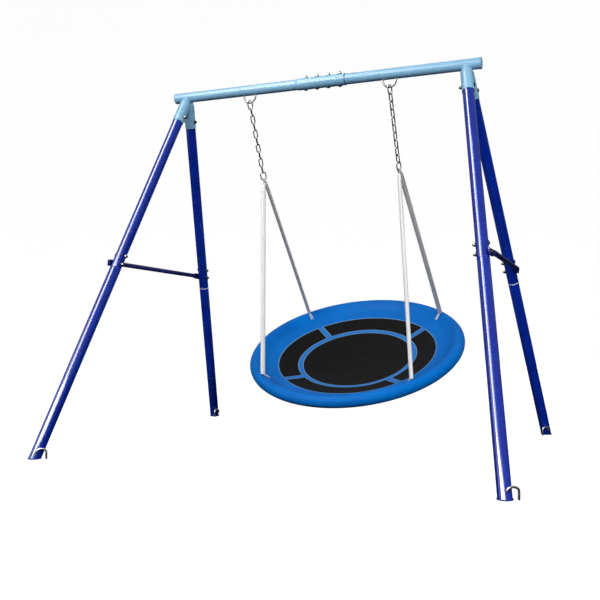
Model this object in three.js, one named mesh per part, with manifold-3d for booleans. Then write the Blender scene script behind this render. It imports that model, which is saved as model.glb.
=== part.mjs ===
// Saucer nest swing on an A-frame stand: a round dished fabric seat with a padded rim, hung by four
// sleeved ropes and two chains from a two-piece top beam on four splayed legs.
// Units are millimetres. +X runs along the beam, +Y to the back, +Z up. The seat is drawn swung back.

import * as THREE from "three";
import { mergeVertices } from "three/addons/utils/BufferGeometryUtils.js";
import Module from "manifold-3d";

const wasm = await Module();
wasm.setup();

// ---------------------------------------------------------------- driving dimensions

const GAP = 0.3; // clearance between pieces that touch
const TUBE_SIDES = 14;
const HOLE_REACH = 40; // bolt holes are cut this far either side of a tube's axis
const DEG = Math.PI / 180;

const BEAM_HEIGHT = 1500; // ground to beam axis
const BEAM_HALF_LENGTH = 675; // to the outer face of an end cap
const CAP_LIP = 5; // thickness of an end cap outside its tube
const CAP_PLUG_LENGTH = 18;
const TUBE_RADIUS = 22;
const TUBE_WALL = 1.5;
const SLEEVE_RADIUS = 24.2; // widened end of the left beam, over the right beam
const SLEEVE_START_X = -80;
const SLEEVE_END_X = 124;
const SWAGE_LENGTH = 12;
const BEAM_OVERLAP_START_X = -66; // end of the right beam inside the sleeve
const BEAM_BOLT_X = [-50, 0, 50, 100];

const SIDE_X = 614; // where a pair of legs meets the beam
const FOOT_X = 847;
const FOOT_Y = 697;

const STUB_RADIUS = 23.8;
const STUB_LENGTH = 134; // from the beam axis, along the leg
const STUB_NECK_RADIUS = 19.5; // where it is welded to the beam
const STUB_SHOULDER = 40; // full width from here down
const LEG_TOP = 54; // leg starts this far down from the beam axis
const STUB_BOLT_ALONG = 106;
const FRONT_SEAM_ALONG = 868; // end of the upper leg, from the beam axis
const BACK_SEAM_ALONG = 922;
const FRONT_BRACE_ALONG = 846;
const BACK_BRACE_ALONG = 866;
const JOINT_BOLT_UP = 38; // from the brace bolt, up the leg
const SPIGOT_LENGTH = 110; // narrowed top of the lower leg, inside the upper one
const SPIGOT_WALL = 1.4;
const LEG_OVERRUN = 40; // legs are drawn this far past the ground, then cut off level

const FOOT_CAP_RADIUS = 24.5;
const FOOT_CAP_THICKNESS = 3.5;
const FOOT_PLUG_LENGTH = 8;

const BRACE_RADIUS = 9.5;
const BRACE_TAB = { height: 27, thickness: 8, past: 27, inside: 24, blend: 22 };

const BOLT_RADIUS = 4;
const HEAD = { radius: 8.5, height: 4.5 };
const NUT = { radius: 7.2, height: 6.5, thread: 4 };

const HOOK_RADIUS = 3.8;
const HOOK_BEND = 17; // radius of the bend, to the rod's axis
const HOOK_HEIGHT = 24; // of the hole in the leg
// How each peg hook leaves its leg: its turn from straight to the front, the hand it bends to and
// how far out of the leg's axis it does so.
const HOOK_POSE = {
  front_left: { turn: 35, hand: 1, reach: 31 },
  back_left: { turn: 78, hand: -1, reach: 31 },
  front_right: { turn: 26, hand: 1, reach: 28 },
  back_right: { turn: 35, hand: -1, reach: 38 },
};

const HANGER_X = 310;
const HANGER_ROD = 4;
const HANGER_HALF_WIDTH = 27;
const HANGER_DROP = 53; // beam axis to rod axis at the lowest point
const HANGER_LEG_TOP = 8; // rod ends this far under the beam axis

const SWING_ANGLE = 26 * DEG;
const LINK_WIRE = 2.5;
const LINK_PITCH = 31.5;
const LINK_HALF_WIDTH = 7.5; // wire axis to wire axis is twice this
const TOP_LINK_HALF_WIDTH = 10.5;
const CONNECTOR_HALF_WIDTH = 11.5; // leaves the ropes room to lean as the seat pitches
const TOP_LINK_PLAY = 1.5; // between the top link and the hanger rod
const JOINT_PLAY = 1; // between links that turn in each other
const CHAIN_LINKS = 9; // between the top link and the connector
const CHAIN_BITE = 0.15; // how far neighbouring chain links sink into each other, to be one solid
const CHAIN_TWIST = {
  left: { top: 38, chain: 55 },
  right: { top: 29, chain: 29 },
};

const RIM_STEPS = 32; // faces round the rim and the mat
const SEAT_RADIUS = 508; // to the outside of the cover
const SEAT_DROP = 1186; // swing pivot to the centre of the rim
const ROPE_ANGLE = 44; // rope fixing, from the seat's X axis
const RIM_TUBE_RADIUS = 13;
const RIM_TUBE_WALL = 1.5;
const DRAIN_RADIUS = 3; // of the drain hole in the rim tube
const PAD_RADIUS = 25.6;
const COVER_RADIUS = 28;
const COVER_THICKNESS = 2.1;
const MAT_THICKNESS = 3;
const MAT_DEPTH = 76; // centre of the mat below the middle of the rim
const CORD_RADIUS = 2.5;
const CORD_PLAY = 1.9; // between a cord's loop and the rim tube
const HOOK_PLAY = 2.7; // between a cord's loop and the connector
const CORD_OFFSET = 2.7; // of each rope from the middle of the connector's lower bend
const SLEEVE_HALF_WIDTH = 11;
const SLEEVE_HALF_THICKNESS = 8;
const SLEEVE_BORE = { halfWidth: 6.8, halfThickness: 4 };
const SLEEVE_TOP_GAP = 24; // bare cord under the connector
const SLEEVE_BOTTOM_GAP = 33; // bare cord above the middle of the rim

// ---------------------------------------------------------------- materials

function finish(colour, roughness, metalness) {
  return new THREE.MeshStandardMaterial({ color: colour, roughness, metalness });
}

const skyPaint = finish(0x93bddd, 0.35, 0.1);
const bluePaint = finish(0x1522a0, 0.25, 0.1);
const navyPaint = finish(0x1d1b45, 0.35, 0.1);
const darkPlastic = finish(0x16204f, 0.5, 0);
const zinc = finish(0xc3c6c8, 0.35, 0.9);
const bareSteel = finish(0x9da1a5, 0.4, 0.9);
const ropeWhite = finish(0xe8e6df, 0.85, 0);
const sleeveWhite = finish(0xf1efe9, 0.5, 0);
const padFoam = finish(0x5f6469, 0.95, 0);
const azureFabric = finish(0x1583e0, 0.6, 0);
const matFabric = finish(0x202020, 0.8, 0);

// ---------------------------------------------------------------- solids, joined and cut

function toSolid(geometry) {
  const bare = geometry.clone();
  bare.deleteAttribute("normal");
  bare.deleteAttribute("uv");
  const welded = mergeVertices(bare, 1e-4);
  return new wasm.Manifold(
    new wasm.Mesh({
      numProp: 3,
      vertProperties: new Float32Array(welded.attributes.position.array),
      triVerts: new Uint32Array(welded.index.array),
    }),
  );
}

function toGeometry(solid) {
  const mesh = solid.getMesh();
  const geometry = new THREE.BufferGeometry();
  geometry.setAttribute("position", new THREE.BufferAttribute(new Float32Array(mesh.vertProperties), 3));
  geometry.setIndex(new THREE.BufferAttribute(new Uint32Array(mesh.triVerts), 1));
  geometry.computeVertexNormals();
  return geometry;
}

function join(...geometries) {
  return toGeometry(geometries.map(toSolid).reduce((whole, piece) => whole.add(piece)));
}

function cut(geometry, ...tools) {
  return toGeometry(tools.map(toSolid).reduce((whole, tool) => whole.subtract(tool), toSolid(geometry)));
}

// ---------------------------------------------------------------- shape helpers

function rod(radius, zLow, zHigh, sides = 6) {
  const geometry = new THREE.CylinderGeometry(radius, radius, zHigh - zLow, sides);
  return geometry.rotateX(Math.PI / 2).translate(0, 0, (zLow + zHigh) / 2);
}

// A tube along Z: profile is a list of [radius, z] going once round the wall's section.
function turned(profile, sides) {
  const points = profile.map(([radius, z]) => new THREE.Vector2(radius, z));
  const closed = profile[0][0] > 0;
  const geometry = new THREE.LatheGeometry(closed ? [...points, points[0].clone()] : points, sides);
  geometry.rotateX(Math.PI / 2);
  return geometry;
}

function tube(outer, inner, zLow, zHigh, sides = TUBE_SIDES) {
  return turned([[inner, zHigh], [inner, zLow], [outer, zLow], [outer, zHigh]], sides);
}

// A solid through rings of points, all with the same count: with flat ends, or closed on itself.
function loft(rings, closed = false) {
  const count = rings[0].length;
  const positions = rings.flat().flatMap((p) => [p.x, p.y, p.z]);
  const faces = [];
  const rows = closed ? rings.length : rings.length - 1;
  for (let row = 0; row < rows; row += 1) {
    const next = ((row + 1) % rings.length) * count;
    for (let k = 0; k < count; k += 1) {
      const step = (k + 1) % count;
      const a = row * count + k;
      const b = row * count + step;
      faces.push(a, b, next + step, a, next + step, next + k);
    }
  }
  const last = (rings.length - 1) * count;
  for (let k = 1; !closed && k + 1 < count; k += 1) {
    faces.push(0, k + 1, k);
    faces.push(last, last + k, last + k + 1);
  }
  const geometry = new THREE.BufferGeometry();
  geometry.setAttribute("position", new THREE.Float32BufferAttribute(positions, 3));
  geometry.setIndex(faces);
  return geometry;
}

function circleRound(point, tangent, normal, radius, count) {
  const other = tangent.clone().cross(normal);
  return Array.from({ length: count }, (_, k) => {
    const angle = (2 * Math.PI * k) / count;
    return point.clone()
      .addScaledVector(normal, radius * Math.cos(angle))
      .addScaledVector(other, radius * Math.sin(angle));
  });
}

function squareTo(direction, tangent) {
  return direction.clone().addScaledVector(tangent, -direction.dot(tangent)).normalize();
}

// A round bar round a closed loop of points. Each point has a pin, the way the loop is seen from.
function closedBar(points, pins, radius, count) {
  const rings = points.map((point, k) => {
    const next = points[(k + 1) % points.length];
    const previous = points[(k + points.length - 1) % points.length];
    const tangent = next.clone().sub(previous).normalize();
    return circleRound(point, tangent, squareTo(pins[k], tangent), radius, count);
  });
  return loft(rings, true);
}

// A round bar through points, with flat ends. `start` is any way across its first stretch.
function bar(points, start, radius, count) {
  let normal = start;
  const rings = points.map((point, k) => {
    const next = points[Math.min(k + 1, points.length - 1)];
    const previous = points[Math.max(k - 1, 0)];
    const tangent = next.clone().sub(previous).normalize();
    normal = squareTo(normal, tangent);
    return circleRound(point, tangent, normal, radius, count);
  });
  return loft(rings);
}

function vector(x, y, z) {
  return new THREE.Vector3(x, y, z);
}

// The quaternion that turns +Z onto a direction, with +X kept as near as possible to `side`.
function aim(direction, side) {
  const z = direction.clone().normalize();
  const y = z.clone().cross(side).normalize();
  const x = y.clone().cross(z);
  return new THREE.Quaternion().setFromRotationMatrix(new THREE.Matrix4().makeBasis(x, y, z));
}

function named(name, geometry, material) {
  const mesh = new THREE.Mesh(geometry, material);
  mesh.name = name;
  return mesh;
}

function inPlace(geometry, position, quaternion = new THREE.Quaternion()) {
  return geometry.clone().applyMatrix4(
    new THREE.Matrix4().compose(position, quaternion, vector(1, 1, 1)),
  );
}

// ---------------------------------------------------------------- bolts

// A round-headed bolt along Z with its nut: the head's underside is at headZ, the nut's at nutZ,
// and the head faces +Z. Both faces stand off what they clamp by the usual gap.
function bolt(headZ, nutZ) {
  const { radius, height } = HEAD;
  const headBase = headZ + GAP;
  const nutFace = nutZ - GAP;
  const dome = turned(
    [[0, headBase], [radius, headBase], [radius * 0.62, headBase + height * 0.8], [0, headBase + height]],
    8,
  );
  const shank = rod(BOLT_RADIUS, nutFace - NUT.height - NUT.thread, headBase + 0.5);
  const nut = rod(NUT.radius, nutFace - NUT.height, nutFace);
  return join(dome, shank, nut);
}

// Wide enough for the bolt whichever way its flats face.
function boltHole(zLow, zHigh) {
  return rod((BOLT_RADIUS + GAP) / Math.cos(Math.PI / 6), zLow, zHigh);
}

// ---------------------------------------------------------------- the stand

const group = new THREE.Group();
const splay = Math.atan((FOOT_X - SIDE_X) / BEAM_HEIGHT);
const planeHeight = Math.hypot(FOOT_X - SIDE_X, BEAM_HEIGHT);
const legAngle = Math.atan(FOOT_Y / planeHeight);
const legLength = Math.hypot(FOOT_Y, planeHeight);
const sides = { left: -1, right: 1 };
const ends = {
  front: { sign: -1, seam: FRONT_SEAM_ALONG, brace: FRONT_BRACE_ALONG },
  back: { sign: 1, seam: BACK_SEAM_ALONG, brace: BACK_BRACE_ALONG },
};

// A frame on the plane of one pair of legs: +X outwards, +Z up the plane, origin on the beam axis.
function sideFrame(side) {
  const frame = new THREE.Group();
  frame.position.set(sides[side] * SIDE_X, 0, BEAM_HEIGHT);
  frame.rotation.set(0, -splay, side === "left" ? Math.PI : 0, "ZYX");
  frame.updateMatrixWorld(true);
  return frame;
}

// A frame on one leg: -Z runs down the leg from the beam axis.
function legFrame(side, end) {
  const frame = new THREE.Group();
  const turn = ends[end].sign * (side === "left" ? -1 : 1);
  frame.rotation.x = turn * legAngle;
  return frame;
}

const frames = {};
for (const side of Object.keys(sides)) {
  frames[side] = { plane: sideFrame(side) };
  group.add(frames[side].plane);
  for (const end of Object.keys(ends)) {
    frames[side][end] = legFrame(side, end);
    frames[side].plane.add(frames[side][end]);
  }
}
group.updateMatrixWorld(true);

// Where the axis of the leg that a mesh belongs to meets the ground.
function footPoint(mesh) {
  mesh.updateMatrixWorld(true);
  return vector(0, 0, -legLength).applyMatrix4(mesh.matrixWorld);
}

// Cuts a mesh that already hangs in its leg's frame off level, at a height over the ground.
function trimBelow(mesh, height) {
  const depth = 400;
  const foot = footPoint(mesh);
  const slab = new THREE.BoxGeometry(depth, depth, depth).translate(foot.x, foot.y, height - depth / 2);
  mesh.geometry = cut(mesh.geometry, slab.applyMatrix4(mesh.matrixWorld.clone().invert()));
}

// ---- beam

function alongX(geometry) {
  return geometry.rotateY(Math.PI / 2);
}

function beamTube(side) {
  const inner = TUBE_RADIUS - TUBE_WALL;
  const outerEnd = BEAM_HALF_LENGTH - CAP_LIP;
  if (side === "right") {
    return alongX(tube(TUBE_RADIUS, inner, BEAM_OVERLAP_START_X, outerEnd));
  }
  const bore = TUBE_RADIUS + GAP;
  return alongX(
    turned(
      [
        [inner, SLEEVE_START_X],
        [inner, -outerEnd],
        [TUBE_RADIUS, -outerEnd],
        [TUBE_RADIUS, SLEEVE_START_X - SWAGE_LENGTH],
        [SLEEVE_RADIUS, SLEEVE_START_X],
        [SLEEVE_RADIUS, SLEEVE_END_X],
        [bore, SLEEVE_END_X],
        [bore, SLEEVE_START_X + SWAGE_LENGTH - 5],
      ],
      TUBE_SIDES,
    ),
  );
}

// A socket for a leg: narrow where it is welded to the beam, then wide enough to take the leg.
function stubOutside() {
  return turned(
    [
      [0, -STUB_LENGTH],
      [STUB_RADIUS, -STUB_LENGTH],
      [STUB_RADIUS, -STUB_SHOULDER],
      [STUB_NECK_RADIUS + 2.5, -STUB_SHOULDER + 9],
      [STUB_NECK_RADIUS, -STUB_SHOULDER + 20],
      [STUB_NECK_RADIUS, -4],
      [0, -4],
    ],
    TUBE_SIDES,
  );
}

function stubBore() {
  const neck = STUB_NECK_RADIUS - TUBE_WALL - 0.5;
  return turned(
    [
      [0, -STUB_LENGTH - 5],
      [TUBE_RADIUS + GAP, -STUB_LENGTH - 5],
      [TUBE_RADIUS + GAP, -LEG_TOP + 1],
      [neck, -LEG_TOP + 8],
      [neck, -4],
      [0, -4],
    ],
    TUBE_SIDES,
  );
}

function beam(side) {
  const centre = vector(0, 0, BEAM_HEIGHT);
  const wholeBar = inPlace(alongX(rod(TUBE_RADIUS, -BEAM_HALF_LENGTH, BEAM_HALF_LENGTH, TUBE_SIDES)), centre);
  const inside = inPlace(
    alongX(rod(TUBE_RADIUS - TUBE_WALL, -BEAM_HALF_LENGTH, BEAM_HALF_LENGTH, TUBE_SIDES)),
    centre,
  );
  const legPlaces = Object.keys(ends).map((end) => frames[side][end].matrixWorld);
  const stubs = legPlaces.map((place) => stubOutside().applyMatrix4(place));
  let body = cut(join(inPlace(beamTube(side), centre), ...stubs), inside);
  for (const place of legPlaces) {
    const bore = cut(stubBore().applyMatrix4(place), wholeBar);
    const hole = boltHole(-HOLE_REACH, HOLE_REACH).rotateY(Math.PI / 2).translate(0, 0, -STUB_BOLT_ALONG);
    body = cut(body, bore, hole.applyMatrix4(place));
  }
  const holes = BEAM_BOLT_X.map((x) => boltHole(-HOLE_REACH, HOLE_REACH).translate(x, 0, BEAM_HEIGHT));
  body = cut(body, ...holes);
  for (const x of [-HANGER_HALF_WIDTH, HANGER_HALF_WIDTH]) {
    const rodHole = rod(HANGER_ROD + GAP, -TUBE_RADIUS - 5, 0, 8);
    body = cut(body, rodHole.translate(sides[side] * HANGER_X + x, 0, BEAM_HEIGHT));
  }
  return body;
}

for (const side of Object.keys(sides)) {
  group.add(named(`beam_${side}`, beam(side), skyPaint));
}

function beamCap() {
  const face = BEAM_HALF_LENGTH;
  const tubeEnd = BEAM_HALF_LENGTH - CAP_LIP;
  const plug = TUBE_RADIUS - TUBE_WALL - GAP;
  return turned(
    [
      [0, tubeEnd - CAP_PLUG_LENGTH],
      [plug - 1, tubeEnd - CAP_PLUG_LENGTH],
      [plug, tubeEnd - 14],
      [plug, tubeEnd + GAP],
      [TUBE_RADIUS + 0.8, tubeEnd + GAP],
      [TUBE_RADIUS + 0.8, face - 2],
      [TUBE_RADIUS - 1.5, face],
      [0, face],
    ],
    TUBE_SIDES,
  );
}

for (const side of Object.keys(sides)) {
  const cap = named(`beam_cap_${side}`, beamCap(), skyPaint);
  cap.position.z = BEAM_HEIGHT;
  cap.rotation.y = sides[side] * (Math.PI / 2);
  group.add(cap);
}

BEAM_BOLT_X.forEach((x, index) => {
  const piece = named(`beam_bolt_${index + 1}`, bolt(SLEEVE_RADIUS, -SLEEVE_RADIUS), zinc);
  piece.position.set(x, 0, BEAM_HEIGHT);
  piece.rotation.x = Math.PI;
  group.add(piece);
});

// ---- hanger eyes: bent rods, whose legs go up through the underside of the beam

function hangerEye() {
  const half = HANGER_HALF_WIDTH;
  const lowest = -HANGER_DROP;
  const points = [vector(-half, 0, -HANGER_LEG_TOP), vector(-half, 0, -(TUBE_RADIUS + 2))];
  const steps = 8;
  for (let k = 0; k <= steps; k += 1) {
    const angle = Math.PI + (Math.PI * k) / steps;
    const rise = lowest + half;
    points.push(vector(half * Math.cos(angle), 0, rise + half * Math.sin(angle)));
  }
  points.push(vector(half, 0, -(TUBE_RADIUS + 2)), vector(half, 0, -HANGER_LEG_TOP));
  return bar(points, vector(0, 1, 0), HANGER_ROD, 8);
}

for (const side of Object.keys(sides)) {
  const eye = named(`hanger_eye_${side}`, hangerEye(), zinc);
  eye.position.set(sides[side] * HANGER_X, 0, BEAM_HEIGHT);
  group.add(eye);
}

// ---- legs

function crossHole(along) {
  return boltHole(-HOLE_REACH, HOLE_REACH).rotateY(Math.PI / 2).translate(0, 0, -along);
}

function upperLeg(end) {
  const { seam, brace } = ends[end];
  const shell = tube(TUBE_RADIUS, TUBE_RADIUS - TUBE_WALL, -seam, -LEG_TOP);
  return cut(shell, crossHole(STUB_BOLT_ALONG), crossHole(brace - JOINT_BOLT_UP), crossHole(brace));
}

function lowerLeg(end) {
  const { seam, brace } = ends[end];
  const spigot = TUBE_RADIUS - TUBE_WALL - GAP;
  const inner = TUBE_RADIUS - TUBE_WALL;
  const shoulder = -(seam + GAP);
  const shell = turned(
    [
      [spigot - SPIGOT_WALL, -seam + SPIGOT_LENGTH],
      [spigot - SPIGOT_WALL, shoulder],
      [inner, shoulder - 4],
      [inner, -legLength - LEG_OVERRUN],
      [TUBE_RADIUS, -legLength - LEG_OVERRUN],
      [TUBE_RADIUS, shoulder],
      [spigot, shoulder],
      [spigot, -seam + SPIGOT_LENGTH],
    ],
    TUBE_SIDES,
  );
  return cut(shell, crossHole(brace - JOINT_BOLT_UP), crossHole(brace));
}

// The bent rod that pegs a foot down: out of the leg, over and down to the ground.
function groundHook({ hand, reach }) {
  const points = [vector(0, -6, 0), vector(0, -reach + 3.5, 0), vector(0, -reach + 0.5, 1.5)];
  const steps = 6;
  for (let k = 1; k <= steps; k += 1) {
    const angle = Math.PI - (Math.PI * k) / steps;
    const across = hand * HOOK_BEND * (1 + Math.cos(angle));
    points.push(vector(across, -reach, 2 + HOOK_BEND * 0.75 * Math.sin(angle)));
  }
  points.push(vector(2 * hand * HOOK_BEND, -reach, GAP + 1 - HOOK_HEIGHT));
  return bar(points, vector(1, 0, 0), HOOK_RADIUS, 6);
}

function hookHole() {
  return rod((HOOK_RADIUS + GAP) / Math.cos(Math.PI / 6), 0, 45).rotateX(Math.PI / 2);
}

// The matrix that stands a hook, or its hole, on a leg's axis.
function hookPlace(side, end) {
  const share = 1 - HOOK_HEIGHT / BEAM_HEIGHT;
  const spot = vector(0, 0, -legLength * share).applyMatrix4(frames[side][end].matrixWorld);
  const turn = HOOK_POSE[`${end}_${side}`].turn * DEG;
  return new THREE.Matrix4().makeRotationZ(turn).setPosition(spot);
}

function footCap(mesh) {
  const plug = TUBE_RADIUS - TUBE_WALL - GAP;
  mesh.geometry = rod(plug, -legLength - LEG_OVERRUN, -legLength + FOOT_PLUG_LENGTH, TUBE_SIDES);
  trimBelow(mesh, FOOT_CAP_THICKNESS - 0.5);
  const foot = footPoint(mesh);
  const sole = rod(FOOT_CAP_RADIUS, 0, FOOT_CAP_THICKNESS, TUBE_SIDES).translate(foot.x, foot.y, 0);
  mesh.geometry = join(mesh.geometry, sole.applyMatrix4(mesh.matrixWorld.clone().invert()));
}

for (const side of Object.keys(sides)) {
  for (const end of Object.keys(ends)) {
    const { brace } = ends[end];
    const frame = frames[side][end];
    const place = `${end}_${side}`;
    const upper = named(`upper_leg_${place}`, upperLeg(end), bluePaint);
    const lower = named(`lower_leg_${place}`, lowerLeg(end), bluePaint);
    const cap = named(`foot_cap_${place}`, rod(1, 0, 1), darkPlastic);
    frame.add(upper, lower, cap);
    trimBelow(lower, FOOT_CAP_THICKNESS + GAP);
    const hookMatrix = hookPlace(side, end);
    const hole = hookHole().applyMatrix4(lower.matrixWorld.clone().invert().multiply(hookMatrix));
    lower.geometry = cut(lower.geometry, hole);
    footCap(cap);

    const hook = named(`ground_hook_${place}`, groundHook(HOOK_POSE[place]), zinc);
    hook.applyMatrix4(hookMatrix);
    group.add(hook);

    const boltAt = (name, along, outer) => {
      const inner = name.startsWith("stub") ? STUB_RADIUS : TUBE_RADIUS;
      const piece = named(`${name}_${place}`, bolt(outer, -inner), zinc);
      piece.rotation.y = Math.PI / 2;
      piece.position.z = -along;
      frame.add(piece);
    };
    boltAt("stub_bolt", STUB_BOLT_ALONG, STUB_RADIUS);
    boltAt("joint_bolt", brace - JOINT_BOLT_UP, TUBE_RADIUS);
    boltAt("brace_bolt", brace, TUBE_RADIUS + GAP + BRACE_TAB.thickness);
  }
}

// ---- braces

function braceRing(y, halfHeight, halfThickness, centreX) {
  const ring = [];
  const count = 12;
  for (let k = 0; k < count; k += 1) {
    const angle = (2 * Math.PI * k) / count;
    ring.push(vector(centreX + halfThickness * Math.cos(angle), y, halfHeight * Math.sin(angle)));
  }
  return ring;
}

function brace(side) {
  const turn = side === "left" ? -1 : 1;
  const spots = Object.values(ends).map(({ sign, brace: along }) =>
    vector(0, turn * sign * along * Math.sin(legAngle), -along * Math.cos(legAngle)),
  );
  spots.sort((a, b) => a.y - b.y);
  const [near, far] = spots;
  const length = far.y - near.y;
  const inner = TUBE_RADIUS + GAP;
  const tabX = inner + BRACE_TAB.thickness / 2;
  const tubeX = inner + BRACE_RADIUS;
  const tab = [BRACE_TAB.height / 2, BRACE_TAB.thickness / 2, tabX];
  const round = [BRACE_RADIUS, BRACE_RADIUS, tubeX];
  const stations = [
    [-BRACE_TAB.past, tab],
    [BRACE_TAB.inside, tab],
    [BRACE_TAB.inside + BRACE_TAB.blend, round],
    [length - BRACE_TAB.inside - BRACE_TAB.blend, round],
    [length - BRACE_TAB.inside, tab],
    [length + BRACE_TAB.past, tab],
  ];
  const slope = (far.z - near.z) / length;
  const rings = stations.map(([y, [halfHeight, halfThickness, x]]) =>
    braceRing(y, halfHeight, halfThickness, x).map((p) =>
      vector(p.x, near.y + p.y, near.z + slope * y + p.z),
    ),
  );
  const holes = spots.map((spot) =>
    boltHole(-HOLE_REACH, HOLE_REACH).rotateY(Math.PI / 2).translate(0, spot.y, spot.z),
  );
  return cut(loft(rings.reverse()), ...holes);
}

for (const side of Object.keys(sides)) {
  frames[side].plane.add(named(`brace_${side}`, brace(side), navyPaint));
}

// ---------------------------------------------------------------- the swing, drawn hanging straight

const swing = new THREE.Group();
swing.position.z = BEAM_HEIGHT - HANGER_DROP;
swing.rotation.x = SWING_ANGLE;
group.add(swing);

// A chain link in the YZ plane, its upper bend's wire axis at z = 0.
function link(halfWidth, length, sidesRound, arcSteps) {
  const points = [];
  const straight = length - 2 * halfWidth;
  for (let k = 0; k <= arcSteps; k += 1) {
    const angle = (Math.PI * k) / arcSteps;
    points.push(vector(0, halfWidth * Math.cos(angle), halfWidth * (Math.sin(angle) - 1)));
  }
  for (let k = 0; k <= arcSteps; k += 1) {
    const angle = Math.PI + (Math.PI * k) / arcSteps;
    points.push(
      vector(0, halfWidth * Math.cos(angle), halfWidth * (Math.sin(angle) - 1) - straight),
    );
  }
  return closedBar(points, points.map(() => vector(1, 0, 0)), LINK_WIRE, sidesRound);
}

const linkLength = LINK_PITCH + 2 * LINK_WIRE;
const topLinkZ = HANGER_ROD + LINK_WIRE + TOP_LINK_PLAY;
const chainTopZ = topLinkZ - linkLength + 2 * LINK_WIRE + JOINT_PLAY;
const chainStep = linkLength - 2 * LINK_WIRE + CHAIN_BITE;
const chainBottomZ = chainTopZ - (CHAIN_LINKS - 1) * chainStep - linkLength;
const connectorZ = chainBottomZ + 2 * LINK_WIRE + JOINT_PLAY;
const ropePivotZ = connectorZ - linkLength;

function chainLinks(twist) {
  const pieces = [];
  for (let k = 0; k < CHAIN_LINKS; k += 1) {
    const turns = k === 0 || k === CHAIN_LINKS - 1; // these two work against their neighbours
    const piece = link(LINK_HALF_WIDTH, linkLength, 6, turns ? 8 : 3);
    pieces.push(piece.rotateZ(-(twist + 90 * (k + 1)) * DEG).translate(0, 0, -k * chainStep));
  }
  return join(...pieces);
}

for (const side of Object.keys(sides)) {
  const twist = CHAIN_TWIST[side];
  const x = sides[side] * HANGER_X;
  const topLink = named(`top_link_${side}`, link(TOP_LINK_HALF_WIDTH, linkLength, 6, 8), zinc);
  topLink.position.set(x, 0, topLinkZ);
  topLink.rotation.z = -twist.top * DEG;
  const chain = named(`chain_${side}`, chainLinks(twist.chain), zinc);
  chain.position.set(x, 0, chainTopZ);
  const connector = named(`connector_${side}`, link(CONNECTOR_HALF_WIDTH, linkLength, 6, 8), zinc);
  connector.position.set(x, 0, connectorZ);
  connector.rotation.z = -twist.chain * DEG;
  swing.add(topLink, chain, connector);
}

// ---- ropes: an endless cord from the connector's lower bend round the rim tube, in a sleeve

const rimRadius = SEAT_RADIUS - COVER_RADIUS;

function ropeLine(side, end) {
  const twist = CHAIN_TWIST[side].chain * DEG;
  const wire = vector(Math.sin(twist), Math.cos(twist), 0);
  const hook = vector(sides[side] * HANGER_X, 0, ropePivotZ);
  hook.addScaledVector(wire, ends[end].sign * CORD_OFFSET);
  const angle = ROPE_ANGLE * DEG;
  const rim = vector(
    sides[side] * rimRadius * Math.cos(angle),
    ends[end].sign * rimRadius * Math.sin(angle),
    -SEAT_DROP,
  );
  const down = rim.clone().sub(hook).normalize();
  const pin = squareTo(vector(-rim.y, rim.x, 0), down);
  return { hook, rim, wire, pin, down };
}

// Points round a pin on the far side from `away`: half a turn, and `past` more at each end.
function wrap(centre, pin, away, radius, steps, past = 0) {
  const back = squareTo(away, pin).negate();
  const across = pin.clone().cross(back);
  const points = [];
  for (let k = 0; k <= steps; k += 1) {
    const angle = ((Math.PI + 2 * past) * k) / steps - past;
    points.push(
      centre.clone()
        .addScaledVector(across, radius * Math.cos(angle))
        .addScaledVector(back, radius * Math.sin(angle)),
    );
  }
  return points;
}

function ropeCord({ hook, rim, wire, pin, down }) {
  const strand = CORD_RADIUS + GAP;
  const across = pin.clone().cross(down);
  const rimTurn = RIM_TUBE_RADIUS + CORD_RADIUS + CORD_PLAY;
  const top = wrap(hook, wire, down, LINK_WIRE + CORD_RADIUS + HOOK_PLAY, 4);
  const bottom = wrap(rim, pin, down.clone().negate(), rimTurn, 6, 27 * DEG);
  const upper = hook.clone().addScaledVector(down, SLEEVE_TOP_GAP - 6);
  const lower = rim.clone().addScaledVector(down, -(SLEEVE_BOTTOM_GAP - 1));
  if (top.at(-1).clone().sub(top[0]).dot(across) < 0) {
    top.reverse();
  }
  if (bottom[0].clone().sub(bottom.at(-1)).dot(across) < 0) {
    bottom.reverse();
  }
  const points = [
    ...top,
    upper.clone().addScaledVector(across, strand),
    lower.clone().addScaledVector(across, strand),
    ...bottom,
    lower.clone().addScaledVector(across, -strand),
    upper.clone().addScaledVector(across, -strand),
  ];
  const bendPin = wire.clone().multiplyScalar(Math.sign(wire.dot(pin)));
  const pins = points.map((_, k) => (k < top.length ? bendPin : pin));
  return closedBar(points, pins, CORD_RADIUS, 6);
}

function ovalShape(halfWidth, halfThickness) {
  const shape = new THREE.Shape();
  shape.absellipse(0, 0, halfWidth, halfThickness, 0, 2 * Math.PI, false);
  return shape;
}

function ropeSleeve(length) {
  const wall = ovalShape(SLEEVE_HALF_WIDTH, SLEEVE_HALF_THICKNESS);
  wall.holes.push(ovalShape(SLEEVE_BORE.halfWidth, SLEEVE_BORE.halfThickness));
  return new THREE.ExtrudeGeometry(wall, { depth: length, bevelEnabled: false, curveSegments: 6 });
}

const ropes = [];
for (const side of Object.keys(sides)) {
  for (const end of Object.keys(ends)) {
    const line = ropeLine(side, end);
    ropes.push(line);
    swing.add(named(`rope_${end}_${side}`, ropeCord(line), ropeWhite));
    const length = line.hook.distanceTo(line.rim) - SLEEVE_TOP_GAP - SLEEVE_BOTTOM_GAP;
    const sleeve = named(`rope_sleeve_${end}_${side}`, ropeSleeve(length), sleeveWhite);
    sleeve.position.copy(line.hook).addScaledVector(line.down, SLEEVE_TOP_GAP);
    sleeve.quaternion.copy(aim(line.down, line.pin.clone().cross(line.down)));
    swing.add(sleeve);
  }
}

// ---- seat: steel ring, foam, padded cover and the dished mat

const seat = new THREE.Group();
seat.position.z = -SEAT_DROP;
swing.add(seat);

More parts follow.
